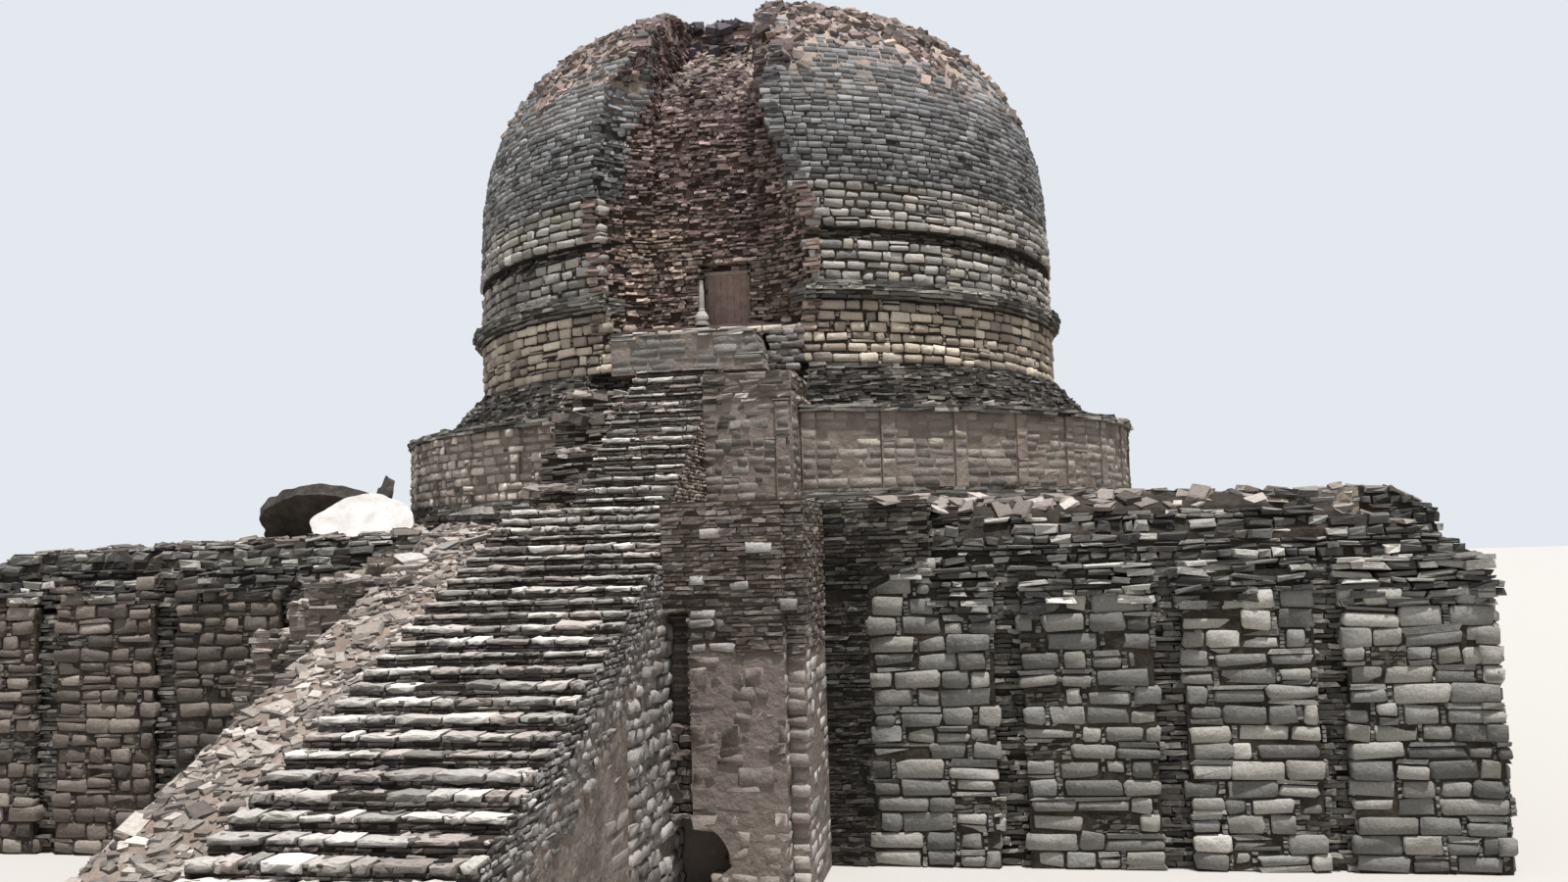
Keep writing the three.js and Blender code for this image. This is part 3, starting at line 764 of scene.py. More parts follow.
# A thin slab that levels up a block, mostly on top of it.
leveller = {
    "share": (0.2, 0.34), "back": (0, 0.04), "onTop": 0.6, "gap": 0.006, "radius": 0.012, "shade": 0.85,
}
sliver = {
    "width": (0.07, 0.13), "height": (0.06, 0.11), "proud": (-0.02, 0.05), "deep": 0.1,
    "endGap": 0.004, "bedGap": 0.009, "radius": 0.01, "rough": 0.008, "shade": 0.75,
}


# One course from start to end along a run, between two levels.
def layStretch(batch, run, start, end, low, high, style, draws):
    position = start
    level = (low + high) / 2
    topped = style.get("topped", 0)
    while position < end - shortestStone:
        width = draws.uniform(*style["length"])
        if end - position - width < style["length"][0] * shortRest:
            width = end - position
        near = position
        position += width
        lost = style["lost"](pointOn(run, near)) if "lost" in style else 0
        if draws.random() < style["missing"] + lost:
            if "packing" in style:
                rows = courseLevels(low, high, *packingCourses, draws)
                for bottom, top in zip(rows[:-1], rows[1:]):
                    layStretch(batch, run, near, position, bottom, top, style["packing"], draws)
            continue
        chips = style.get("chips", 0)
        if chips and width > style["length"][0] and draws.random() < chips:
            gap = draws.uniform(*sliver["width"])
            layChips(batch, run, position - gap, gap, low, high, style, draws)
            width -= gap
        joint = style["joint"] * draws.uniform(*vary["joint"])
        a = pointOn(run, near + joint / 2)
        b = pointOn(run, near + width - joint / 2)
        outward = normalOn(run, near + width / 2)
        if style.get("upright", True):
            outward = levelled(outward)
        along = b - a
        span = np.linalg.norm(along)
        if span < shortestStone:
            continue
        along = along / span
        outward = squared(outward, along)
        tilt = style["tilt"]
        outward = unit(outward + along * draws.normal() * tilt + upright * draws.normal() * tilt)
        along = squared(along + upright * draws.normal() * style.get("roll", tilt * 0.7), outward)
        up = np.cross(outward, along)
        rising = max(abs(up[2]), leastUp)
        rise = (high - low) / rising
        tall = max(rise - style["bed"] * draws.uniform(*vary["bed"]), thinnest * rise)
        proud = draws.uniform(*style["proud"])
        deep = style["depth"] * draws.uniform(*vary["depth"])
        centre = (a + b) / 2
        centre = centre + up * (level - centre[2]) / rising + outward * (proud - deep / 2)
        if draws.random() < topped:
            thin = rise * draws.uniform(*leveller["share"])
            side = 1 if draws.random() < leveller["onTop"] else -1
            above = centre + up * side * (rise - thin) / 2 - outward * draws.uniform(*leveller["back"])
            half = (deep / 2, span / 2, thin / 2 - leveller["gap"])
            colour = stoneColour(style, above, draws) * leveller["shade"]
            addStone(
                batch, "chip", above, outward, along, up, half, leveller["radius"], style["rough"], colour,
            )
            tall -= thin
            centre = centre - up * side * thin / 2
        centre = centre + up * draws.uniform(-0.5, 0.5) * (rise - tall) * 0.4 * (1 - topped)
        half = (deep / 2, span / 2, tall / 2)
        radius = style["radius"] * draws.uniform(*vary["radius"])
        colour = stoneColour(style, centre, draws)
        addStone(batch, style["form"], centre, outward, along, up, half, radius, style["rough"], colour)


# A stack of slivers that fills the joint between two blocks.
def layChips(batch, run, start, width, low, high, style, draws):
    z = low
    outward = levelled(normalOn(run, start))
    along = np.cross(upright, outward)
    base = pointOn(run, start + width / 2)
    deep = sliver["deep"]
    while z < high - shortestStone:
        tall = draws.uniform(*sliver["height"])
        centre = np.array([base[0], base[1], z + tall / 2])
        centre = centre + outward * (draws.uniform(*sliver["proud"]) - deep)
        half = (deep, width / 2 - sliver["endGap"], tall / 2 - sliver["bedGap"])
        colour = stoneColour(style, centre, draws) * sliver["shade"]
        addStone(
            batch, "chip", centre, outward, along, upright, half, sliver["radius"], sliver["rough"], colour,
        )
        z += tall


# Levels of courses between two heights, each course a little different.
def courseLevels(low, high, height, spread, draws):
    count = max(1, round((high - low) / height))
    shares = np.cumsum(1 + draws.uniform(-spread, spread, count))
    return low + (high - low) * np.concatenate([[0], shares / shares[-1]])


# The levels are a list, or a tuple of what courseLevels makes them from. The courses follow the
# solid's outline at their own height, or at the one height that is given.
def layCourses(batch, name, levels, style, draws, zone=None, planAt=None, corner=0.45, shortest=0.12):
    if isinstance(levels, tuple):
        levels = courseLevels(*levels, draws)
    solid = solids[name]
    neighbours = neighboursOf(name)
    for low, high in zip(levels[:-1], levels[1:]):
        if style.get("wave"):
            shift = draws.uniform(-0.5, 0.5) * style["wave"]
            low, high = low + shift, high + shift
        middle = (low + high) / 2 + 1e-4
        for run in runsAt(solid, middle if planAt is None else planAt, corner):
            if run["reach"][-1] < shortest:
                continue
            run["points"][:, 2] = middle
            for start, end in openStretches(run, zone, neighbours):
                if end - start < shortest:
                    continue
                ragged = style.get("ragged", 0)
                if not run["ring"]:
                    start += draws.uniform(-1, 0.6) * ragged
                    end += draws.uniform(-0.6, 1) * ragged
                layStretch(batch, run, start, end, low, high, style, draws)


# Each row has levels, a style and, where it needs them, a zone and the height of its outline.
def layRows(batch, name, draws, *rows):
    for levels, style, *where in rows:
        layCourses(batch, name, levels, style, draws, *where)


clearAbove = 1.5  # loose stones lie only where this much over them is free
looseLength = (1, 1.7)  # as a share of the width
thinnestLoose = 0.04


# Loose stones that lie on the upward faces of a solid, so many to the square metre.
def scatterStones(batch, name, density, style, draws, zone=None):
    solid = solids[name]
    a, b, c = (solid["points"][solid["triangles"][:, i]] for i in range(3))
    areas = np.linalg.norm(np.cross(b - a, c - a), axis=1) / 2
    areas[solid["normals"][:, 2] < style.get("flattest", 0.3)] = 0
    count = int(density * areas.sum())
    neighbours = neighboursOf(name)
    for i in draws.choice(len(areas), count, p=areas / areas.sum()):
        u, v = draws.random(2)
        if u + v > 1:
            u, v = 1 - u, 1 - v
        point = a[i] + u * (b[i] - a[i]) + v * (c[i] - a[i])
        normal = solid["normals"][i]
        if zone and not zone(point, normal):
            continue
        lifted = Vector(point) + Vector(normal) * 0.01
        if neighbours.ray_cast(lifted, Vector((0, 0, 1)), clearAbove)[0] is None:
            layLoose(batch, point, normal, style, draws)


# One loose stone on a surface, flat side down and a little sunk in.
def layLoose(batch, point, normal, style, draws):
    follow = style.get("follow", 0.7)
    up = unit(normal * follow + upright * (1 - follow) + draws.normal(0, style["lean"], 3))
    turn = draws.uniform(0, math.tau)
    outward = squared(np.array([math.cos(turn), math.sin(turn), 0]), up)
    along = np.cross(up, outward)
    width = draws.uniform(*style["width"])
    length = width * draws.uniform(*looseLength)
    thick = max(width * draws.uniform(*style["thick"]), thinnestLoose)
    centre = point + up * thick * (0.5 - draws.uniform(*style["sunk"]))
    half = (width / 2, length / 2, thick / 2)
    colour = stoneColour(style, centre, draws)
    addStone(batch, style["form"], centre, outward, along, up, half, style["radius"], style["rough"], colour)


# A stone that is placed at a given point, with its face to the front.
def placeStone(batch, form, centre, half, radius, rough, colour, up=upright):
    addStone(batch, form, centre, (0, -1, 0), (1, 0, 0), up, half, radius, rough, colour)


def boxOf(name):
    low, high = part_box(name)
    return np.array(low) / realMetre, np.array(high) / realMetre


print("stone forms and solids ready")


# Podium

front = -19.05
recess = front + 0.15  # what lies deeper than this is in the groove of a lost pilaster
sideRecess = 18.9  # the same line on the other sides
grooveBack = 18.6
cornerFrom = 19
crownFoot = 6.6
wallFoot = 0.02
wholeTo = 5.2  # the walls keep their full outline up to here
wholeOutline = 5.1  # broken courses higher up follow the outline of this height
mostly = 0.7  # the part of a normal that has to lie along an axis for a face to look that way

thinSlabs = dict(
    form="slab", length=(0.2, 0.62), joint=0.015, bed=0.022, depth=0.3, proud=(0, 0.09),
    radius=0.02, rough=0.011, tilt=0.035, missing=0.03, spread=0.22, wave=0.02,
    colours=palette("#524c44 #443f38 #5f5850 #38342f #6e675c #4c463e"),
)
# What is packed into the holes of lost blocks, and into the grooves of lost pilasters.
packing = dict(thinSlabs, length=(0.15, 0.45), proud=(-0.01, 0.05), missing=0.08)
grooveSlabs = dict(
    thinSlabs, proud=(0.04, 0.24), depth=0.4,
    colours=palette("#5e5850 #4e4841 #6c665d #403b36 #7c756a #565048"),
)
podiumBlocks = dict(
    form="block", length=(0.5, 1.3), joint=0.04, bed=0.035, depth=0.4, proud=(0.01, 0.1),
    radius=0.05, rough=0.016, tilt=0.035, chips=0.45, missing=0.03, spread=0.14,
    topped=0.3, ragged=0.16, packing=packing,
    colours=palette("#7e7971 #716d66 #8a8377 #646059 #968f82 #797268 #6f6d68"),
)
podiumBrownBlocks = dict(
    podiumBlocks, length=(0.42, 0.95), proud=(0.01, 0.08),
    colours=palette("#685d52 #5a5046 #73685c #50473f #7f7567 #615850"),
)
crownSlabs = dict(
    form="lump", length=(0.2, 0.65), joint=0.025, bed=0.035, depth=0.5, proud=(-0.03, 0.22),
    radius=0.04, rough=0.02, tilt=0.06, roll=0.06, missing=0.05, spread=0.28, wave=0.06,
    ragged=0.25,
    colours=palette("#5b5751 #6a665f #46433e #79746b #514e48 #8f897e #3b3834 #a39c91"),
)
brokenTopSlabs = dict(crownSlabs, length=(0.25, 0.9), proud=(0.0, 0.13), missing=0.02)


def inGroove(point, normal):
    return point[1] > recess and abs(normal[1]) > mostly


# The blocks end at a ragged height, higher at both ends of the stair, and split slabs fill up to
# the crown.
def blockTop(point):
    drift = noise.noise(Vector((point[0] * 0.6, point[1] * 0.6, 3)))
    nearStair = point[1] < -18 and point[0] < 7.1
    if nearStair:
        return 6.8 + 0.4 * drift
    return 5.85 + 0.6 * drift


def layPodiumFront():
    draws = np.random.default_rng(11)
    # In the narrow gap between the right pier and the wall the thin slabs are painted darker, a painted
    # shade for that recess.
    slabsPaintedShadeByPier = dict(thinSlabs, toneAndPaintedLight=lambda p: 0.55 if 4.5 < p[0] < 5.8 and p[2] < 7 else 1)
    # No block is left between a pier and the line bareTo beside it.
    for name, title, blocks, height, side, bareTo in (
        ("podium_front_wall_right", "podiumFrontRightStones", podiumBlocks, 0.405, 1, 5.75),
        ("podium_front_wall_left", "podiumFrontLeftStones", podiumBrownBlocks, 0.37, -1, 5),
    ):
        batch = {}

        def hasBlocks(point):
            return point[0] * side > bareTo

        def blockZone(point, normal):
            if point[2] > blockTop(point):
                return False
            if abs(normal[0]) > mostly:
                return point[0] * side > cornerFrom
            return point[1] < recess and hasBlocks(point)

        def slabZone(point, normal):
            if inGroove(point, normal):
                return False
            return not hasBlocks(point) or point[2] > max(crownFoot, blockTop(point) - 0.1)

        def topZone(point, normal):
            return point[2] > blockTop(point) - 0.2 and hasBlocks(point)

        layRows(
            batch, name, draws,
            ((wallFoot, wholeTo, height, 0.1), blocks, blockZone),
            ((wholeTo, 7.4, height, 0.1), blocks, blockZone, wholeOutline),
            ((wallFoot, wholeTo, 0.1, 0.25), slabsPaintedShadeByPier, slabZone),
            ((wholeTo, 8.28, 0.1, 0.25), slabsPaintedShadeByPier, slabZone),
            ((wallFoot, 6.58, 0.11, 0.3), grooveSlabs, inGroove),
            ((6.22, 7.05, 0.12, 0.3), grooveSlabs, inGroove, 6),
            ((5.3, 6.7, 0.15, 0.35), brokenTopSlabs, topZone, wholeOutline),
        )
        layMesh(title, batch, "dressedBlocks", draws)


# The other sides repeat the front in simpler stones: block courses, with thin slabs in the grooves.
def layPodiumSides():
    plainSlabs = dict(thinSlabs, form="chip")
    plainBlocks = dict(podiumBlocks, form="facing", packing=dict(packing, form="chip"))
    for name, title, axis in (
        ("podium_right_wall", "podiumRightStones", 0),
        ("podium_left_wall", "podiumLeftStones", 0),
        ("podium_back_wall", "podiumBackStones", 1),
    ):
        draws = np.random.default_rng(len(title) + axis)
        batch = {}

        def outside(point, normal):
            outer = abs(point[axis]) > sideRecess or abs(point[1 - axis]) > cornerFrom
            return point[2] < blockTop(point) and outer

        def groove(point, normal):
            return grooveBack < abs(point[axis]) < sideRecess and abs(normal[axis]) > mostly

        def broken(point, normal):
            return point[2] > blockTop(point) - 0.2 and abs(point[axis]) > grooveBack

        layRows(
            batch, name, draws,
            ((wallFoot, wholeTo, 0.405, 0.1), plainBlocks, outside),
            ((wholeTo, 6.55, 0.4, 0.1), plainBlocks, outside, wholeOutline),
            ((wallFoot, 6.6, 0.13, 0.25), plainSlabs, groove),
            ((5.3, 6.7, 0.14, 0.3), brokenTopSlabs, broken, wholeOutline),
        )
        layMesh(title, batch, "dressedBlocks", draws)


def reachOut(point):
    return max(abs(point[0]), abs(point[1]))


def layCrowns():
    draws = np.random.default_rng(23)
    top = 8.3
    levels = courseLevels(crownFoot - 0.05, top, 0.18, 0.5, draws)

    def outer(point, normal):
        return normal[2] < 0.85 and reachOut(point) > 17.1

    def torn(point, normal):
        return outer(point, normal) and point[2] > blockTop(point) - 0.1

    def whole(point, normal):
        return outer(point, normal) and point[2] < blockTop(point)

    for name, title in (
        ("crown_front_right", "crownFrontRightStones"),
        ("crown_front_left", "crownFrontLeftStones"),
        ("crown_back", "crownBackStones"),
    ):
        batch = {}
        layRows(
            batch, name, draws,
            (levels, crownSlabs, torn),
            ([6.58, 6.94, 7.3], podiumBrownBlocks, whole),
        )
        layMesh(title, batch, "splitSchist", draws)
    batch = {}
    layRows(
        batch, "podium_core", draws,
        ((7.2, top, 0.16, 0.4), crownSlabs, lambda p, n: reachOut(p) > 16.9),
    )
    layMesh("terraceEdgeSlabs", batch, "splitSchist", draws)


layPodiumFront()
layPodiumSides()
layCrowns()


# Round walls

flushBlocks = dict(
    form="facing", length=(0.4, 1.0), joint=0.03, bed=0.03, depth=0.2, proud=(-0.004, 0.03),
    radius=0.035, rough=0.009, tilt=0.01, missing=0.12, spread=0.1, topped=0.15,
    colours=palette("#756e66 #81786e #8c8275 #6a645c #7c756c #887f73 #958a77"),
)
edgeSlabs = dict(
    form="slab", length=(0.4, 1.1), joint=0.012, bed=0.014, depth=0.35, proud=(0.0, 0.08),
    radius=0.02, rough=0.012, tilt=0.02, missing=0.02, spread=0.16, wave=0.01,
    colours=palette("#6d6860 #7d776d #5b5750 #8e887c #4d4943"),
)
tanBlocks = dict(
    form="block", length=(0.4, 0.85), joint=0.055, bed=0.06, depth=0.35, proud=(0.03, 0.1),
    radius=0.045, rough=0.013, tilt=0.022, chips=0.2, missing=0.008, spread=0.12,
    topped=0.1, ragged=0.25, packing=packing,
    colours=palette("#af9d87 #a1917c #bbaa94 #948471 #c3b5a0 #a89a89 #897c6e"),
)
paleBlocks = dict(
    tanBlocks, proud=(0.015, 0.09),
    colours=palette("#8f8981 #9c948a #7f7972 #a39b90 #6f6a64 #878077 #988b78"),
)
bandSlabs = dict(
    form="chip", length=(0.2, 0.6), joint=0.012, bed=0.02, depth=0.5, proud=(-0.02, 0.15),
    radius=0.02, rough=0.014, tilt=0.04, missing=0.06, spread=0.24, wave=0.03,
    colours=palette("#544e47 #443f39 #655e55 #35312c #7b7369 #4b463f"),
)
domeBlocks = dict(
    form="facing", length=(0.24, 0.58), joint=0.03, bed=0.035, depth=0.25, proud=(0.01, 0.08),
    radius=0.035, rough=0.01, tilt=0.025, missing=0.01, spread=0.13, upright=False,
    ragged=0.16, topped=0.08,
    colours=palette("#6a6866 #605e5c #767370 #53514f #807d79 #6d6861 #635e58"),
)


# The bare core is tan and dry where it is low and purplish where it is high.
def coreWeather(point):
    drift = 0.5 * noise.noise(Vector(point) * 0.4 + Vector((7, 0, 0)))
    height = min(max((point[2] - 15.5) / 6 + drift, 0), 1)
    return np.array([1.08 - 0.22 * height, 1.1 - 0.28 * height, 1.04 - 0.12 * height])


coreRubble = dict(
    form="slab", length=(0.12, 0.42), joint=0.012, bed=0.022, depth=0.45, proud=(-0.05, 0.15),
    radius=0.02, rough=0.014, tilt=0.06, roll=0.06, missing=0.07, spread=0.26, wave=0.05,
    ragged=0.15, clouds=0.55, toneAndPaintedLight=coreWeather,
    colours=palette("#847064 #705d54 #947f72 #594a43 #a18c7f #7e6e65 #6c5f56"),
)


def distanceOut(point):
    return math.hypot(point[0], point[1])


def roundZone(least):
    return lambda point, normal: distanceOut(point) > least


# The dressed face of the round walls, and what a break has laid bare behind it.
def facesOut(point, normal):
    level = distanceOut(point) * math.hypot(*normal[:2])
    return normal[0] * point[0] + normal[1] * point[1] > mostly * level


brokenEdge = dict(coreRubble, proud=(-0.05, 0.1), length=(0.12, 0.5))
domeEdge = dict(brokenEdge, colours=domeBlocks["colours"], toneAndPaintedLight=lambda point: 0.8)


def layBareCore(batch, name, levels, draws, style=brokenEdge):
    layCourses(batch, name, levels, style, draws, lambda p, n: not facesOut(p, n) and distanceOut(p) > 8)


# The heights between which each round wall has its courses.
lowerWall = (12.86, 14.84)
upperWall = (15.41, 18.6)
lostCourse = (16.75, 17.1)
domeFoot = 18.61
frontAndBack = ("front_left", "front_right", "back")


def layLowerDrum():
    draws = np.random.default_rng(31)
    levels = courseLevels(8.9, 11.1, 0.275, 0.1, draws)
    outer = roundZone(13)
    batch = {}
    clear = dict(
        tanBlocks, length=(0.32, 0.8), proud=(0.0, 0.07), missing=0.05, spread=0.2,
        joint=0.045, bed=0.045, toneAndPaintedLight=lambda point: 1.2,
        colours=palette("#aa9d8e #988b7e #b9ac9e #867a6e #c4b9aa #9e907f"),
    )
    for part, style in zip(frontAndBack, (clear, flushBlocks, flushBlocks)):
        layCourses(batch, "lower_drum_wall_" + part, levels, style, draws, outer, corner=0.6)
    layMesh("lowerDrumStones", batch, "dressedBlocks", draws)
    batch = {}
    capSlabs = dict(edgeSlabs, proud=(0.02, 0.17))
    layCourses(batch, "lower_drum_cap", [11.09, 11.2, 11.31], capSlabs, draws, outer)
    steps = [8.31, 8.46, 8.57, 8.69, 8.8, 8.9]
    layCourses(batch, "lower_drum_base_moulding", steps, edgeSlabs, draws, outer)
    layMesh("lowerDrumEdgeSlabs", batch, "splitSchist", draws)


def layTallDrum():
    draws = np.random.default_rng(37)
    batch = {}
    layCourses(batch, "core_band", (11.3, 12.85, 0.1, 0.25), bandSlabs, draws)
    layMesh("coreBandSlabs", batch, "splitSchist", draws)
    batch = {}
    bare = {}
    lower = courseLevels(*lowerWall, 0.325, 0.06, draws)
    for part in frontAndBack:
        name = "tall_drum_lower_wall_" + part
        layCourses(batch, name, lower, tanBlocks, draws, facesOut)
        layBareCore(bare, name, (*lowerWall, 0.11, 0.25), draws)
    layMesh("tallDrumTanBlocks", batch, "dressedBlocks", draws)
    batch = {}
    for part in ("left", "right"):
        layCourses(batch, "cornice_" + part, (14.86, 15.4, 0.11, 0.2), edgeSlabs, draws)
    layMesh("corniceSlabs", batch, "splitSchist", draws)
    batch = {}
    jutting = dict(paleBlocks, proud=(0.04, 0.17), missing=0.04)
    for part in frontAndBack:
        name = "tall_drum_upper_wall_" + part
        layRows(
            batch, name, draws,
            ((upperWall[0], lostCourse[0], 0.335, 0.05), paleBlocks, facesOut),
            ((*lostCourse, 0.1, 0.1), bandSlabs, facesOut),
            ([lostCourse[1] + 0.01, 17.42], jutting, facesOut),
            ((17.42, upperWall[1], 0.3, 0.06), paleBlocks, facesOut),
        )
        layBareCore(bare, name, (*upperWall, 0.11, 0.25), draws)
    layMesh("tallDrumPaleBlocks", batch, "dressedBlocks", draws)
    layMesh("tallDrumBrokenEdges", bare, "coreSlabs", draws)


# The dome's courses keep their height along the curve, so their levels close up towards the top.
def domeLevels(name, high, height, draws):
    levels = [domeFoot]
    while levels[-1] < high:
        runs = runsAt(solids[name], levels[-1] + 0.05)
        lean = min(abs(float(run["normals"][:, 2].mean())) for run in runs)
        steep = math.sqrt(max(1 - lean * lean, 0.02))
        levels.append(levels[-1] + height * steep * draws.uniform(0.93, 1.07))
    return levels


# Soil covers more and more of the dome's courses towards the top, in drifts.
def soilCover(point):
    drift = noise.noise(Vector(point) * 0.5) * 0.7 + noise.noise(Vector(point) * 1.6) * 0.4
    return min(max((point[2] - 22.2) / 3 + drift, 0), 0.8)


breachTop = 22.5  # above this the cut runs back over the top of the dome


def cutAtTop(point, normal):
    return point[2] > breachTop and normal[2] < (0.15 if point[2] < 24.8 else 0.4)


soilClods = dict(
    form="chip", width=(0.08, 0.32), thick=(0.35, 0.7), sunk=(0.1, 0.55), radius=0.03,
    rough=0.02, lean=0.3, follow=0.8, spread=0.28,
    colours=palette("#887468 #74635a #9a8678 #5f534d #86786e #6f6259"),
)


# The dome's blocks are painted lighter where it faces left and near its top, a painted highlight.
def domePaintedLight(point):
    leftness = min(max(-point[0] / 8, 0), 1)
    height = min(max((point[2] - 21.5) / 3, 0), 1)
    return 1 + 0.35 * leftness + 0.3 * height


def layDome():
    draws = np.random.default_rng(41)
    levels = domeLevels("dome_shell_back", 26.2, 0.2, draws)
    style = dict(domeBlocks, lost=soilCover, toneAndPaintedLight=domePaintedLight)

    def shellZone(point, normal):
        return distanceOut(point) > 1.5 and facesOut(point, normal) and not cutAtTop(point, normal)

    for part, title in zip(frontAndBack, ("domeLeftBlocks", "domeRightBlocks", "domeBackBlocks")):
        batch = {}
        name = "dome_shell_" + part
        layCourses(batch, name, levels, style, draws, shellZone)
        scatterStones(batch, name, 18, soilClods, draws, lambda p, n: draws.random() < 1.2 * soilCover(p))
        layBareCore(batch, name, (domeFoot, 26.5, 0.13, 0.25), draws, domeEdge)
        layMesh(title, batch, "lichenedBlocks", draws)


def layBreach():
    draws = np.random.default_rng(43)
    batch = {}
    layCourses(
        batch, "dome_core", (13.9, 25.9, 0.105, 0.25), coreRubble, draws,
        lambda p, n: n[2] < 0.8 and n[1] < 0.3,
    )
    crest = dict(
        coreRubble, form="lump", length=(0.15, 0.6), proud=(-0.1, 0.15), depth=0.6, rough=0.03,
        toneAndPaintedLight=lambda point: 0.9 * coreWeather(point) * (1 + 0.5 * noise.noise(Vector(point) * 0.8)),
    )
    levels = courseLevels(breachTop, 26.8, 0.16, 0.6, draws)
    for name in ("dome_shell_back", "dome_shell_front_left", "dome_shell_front_right"):
        layCourses(
            batch, name, levels, crest, draws,
            lambda p, n: (not facesOut(p, n) or cutAtTop(p, n)) and abs(p[0]) < 6,
        )
    layMesh("breachSlabs", batch, "coreSlabs", draws)


layLowerDrum()
layTallDrum()
layDome()
layBreach()


# Stairs

treadSlabs = dict(
    form="longSlab", length=(0.28, 0.9), joint=0.05, bed=0.035, depth=0.42, proud=(0.01, 0.13),
    radius=0.028, rough=0.018, tilt=0.04, roll=0.02, spread=0.18, missing=0.012,
    colours=palette("#8f897f #9d978c #7f7a72 #a8a298 #716c64 #898076 #85766b"),
)
# The riser slabs are painted darker than the tread slabs, a painted shade for the upright faces of the
# steps.
riserSlabs = dict(
    form="slab", length=(0.16, 0.55), joint=0.018, bed=0.018, depth=0.2, proud=(0.0, 0.05),
    radius=0.015, rough=0.01, tilt=0.04, spread=0.24, missing=0.05,
    colours=palette("#57504a #645d55 #443e38 #716960 #4e463f #604f45"),
)
# Grit and slivers trodden into the back of each tread.
treadFill = dict(
    form="chip", width=(0.06, 0.2), thick=(0.2, 0.4), sunk=(0.2, 0.7), radius=0.012,
    rough=0.01, lean=0.1, spread=0.25, flattest=0.9,
    colours=palette("#6b645b #57504a #7d766c #4a443e"),
)
sideRubble = dict(
    form="lump", length=(0.14, 0.4), joint=0.014, bed=0.016, depth=0.12, proud=(0, 0.05),
    radius=0.03, rough=0.012, tilt=0.03, roll=0.05, spread=0.16, missing=0.05,
    colours=palette("#857669 #76685c #938577 #695d52 #8b8076"),
)
flightSteps = {"lower_flight": 38, "upper_flight": 15}
squarely = 0.9  # mostly, for the even faces of the steps


def facesFront(point, normal):
    return normal[1] < -squarely


def facesAside(point, normal):
    return abs(normal[0]) > squarely


# The rougher faces of the piers.
def towardsFront(normal):
    return normal[1] < -mostly


def layFlight(name, title, seed):
    draws = np.random.default_rng(seed)
    low, high = boxOf(name)
    rise = (high[2] - low[2]) / flightSteps[name]
    batch = {}
    rubble = sideRubble if name == "upper_flight" else dict(flankSlabs, depth=0.12, wave=0)
    for step in range(flightSteps[name]):
        top = low[2] + (step + 1) * rise
        thick = draws.uniform(0.085, 0.17)
        layRows(
            batch, name, draws,
            ((top - rise, top - 0.08, 0.07, 0.3), riserSlabs, facesFront),
            ([top - thick + 0.05, top + 0.05], treadSlabs, facesFront, top - 0.04),
            ((top - rise, top - 0.01, 0.1, 0.3), rubble, facesAside),
        )
    # On the back of each tread the near-black joint mud shows, partly dirt and partly a painted shadow of
    # the step above.
    scatterStones(batch, name, 14, treadFill, draws)
    # The tread slabs are painted lighter on top and darker below, a painted highlight and a painted shade.
    layMesh(title, batch, "splitSchist", draws, dustAndPaintedLight=0.5)


# Piers and flank of the lower stair

pierSlabs = dict(
    form="slab", length=(0.2, 0.52), joint=0.014, bed=0.018, depth=0.22, proud=(0, 0.05),
    radius=0.018, rough=0.009, tilt=0.02, spread=0.15, missing=0.02, wave=0.02,
    colours=palette("#5c5149 #675b4f #514740 #70665d #473f38 #605c56 #776f66 #625247"),
)
pierBlocks = dict(
    form="facing", length=(0.25, 0.8), joint=0.012, bed=0.01, depth=0.3, proud=(-0.035, 0.035),
    radius=0.045, rough=0.024, tilt=0.035, roll=0.03, spread=0.05, missing=0.1,
    wave=0.03, ragged=0.05,
    colours=palette("#766a60 #7c7066 #70645a #80756b #6b5f55"),
)
pierSideStones = dict(
    form="facing", length=(0.25, 0.7), joint=0.03, bed=0.03, depth=0.2, proud=(-0.01, 0.03),
    radius=0.03, rough=0.01, tilt=0.015, spread=0.12, missing=0.35,
    colours=palette("#959089 #a19c93 #837c75 #90857a"),
)
quoins = dict(
    form="block", length=(0.5, 0.8), joint=0.02, bed=0.04, depth=0.5, proud=(-0.02, 0.14),
    radius=0.06, rough=0.014, tilt=0.03, spread=0.12, missing=0.05,
    colours=palette("#8a8076 #7a6f64 #9a9186 #6d6156"),
)
flankSlabs = dict(
    form="lump", length=(0.14, 0.42), joint=0.012, bed=0.014, depth=0.3, proud=(0, 0.05),
    radius=0.02, rough=0.01, tilt=0.03, roll=0.04, spread=0.17, missing=0.02, wave=0.03,
    colours=palette("#716c66 #7e7973 #605b55 #8b8680 #54504b #746a61"),
)
flankStones = dict(
    form="facing", length=(0.16, 0.42), joint=0.022, bed=0.022, depth=0.3, proud=(0, 0.045),
    radius=0.035, rough=0.016, tilt=0.03, roll=0.05, spread=0.17, missing=0.04, wave=0.06,
    ragged=0.25, topped=0.12,
    colours=palette("#78716a #837c75 #68625b #8e8881 #5e5750"),
)
# Towards the pier the flank bulges with bigger stones.
flankBoulders = dict(
    form="facing", length=(0.25, 0.65), joint=0.022, bed=0.022, depth=0.5, proud=(0.02, 0.13),
    radius=0.06, rough=0.022, tilt=0.05, roll=0.05, spread=0.12, missing=0.06, wave=0.06,
    colours=palette("#78706a #837c75 #6a635c #8e8780 #615952"),
)
flankBlocks = dict(
    form="facing", length=(0.4, 0.85), joint=0.035, bed=0.035, depth=0.25, proud=(-0.02, 0.018),
    radius=0.04, rough=0.014, tilt=0.014, spread=0.09, missing=0.45,
    colours=palette("#756a61 #7f746b #685e56 #877e75"),
)


pierFoot = 0.03


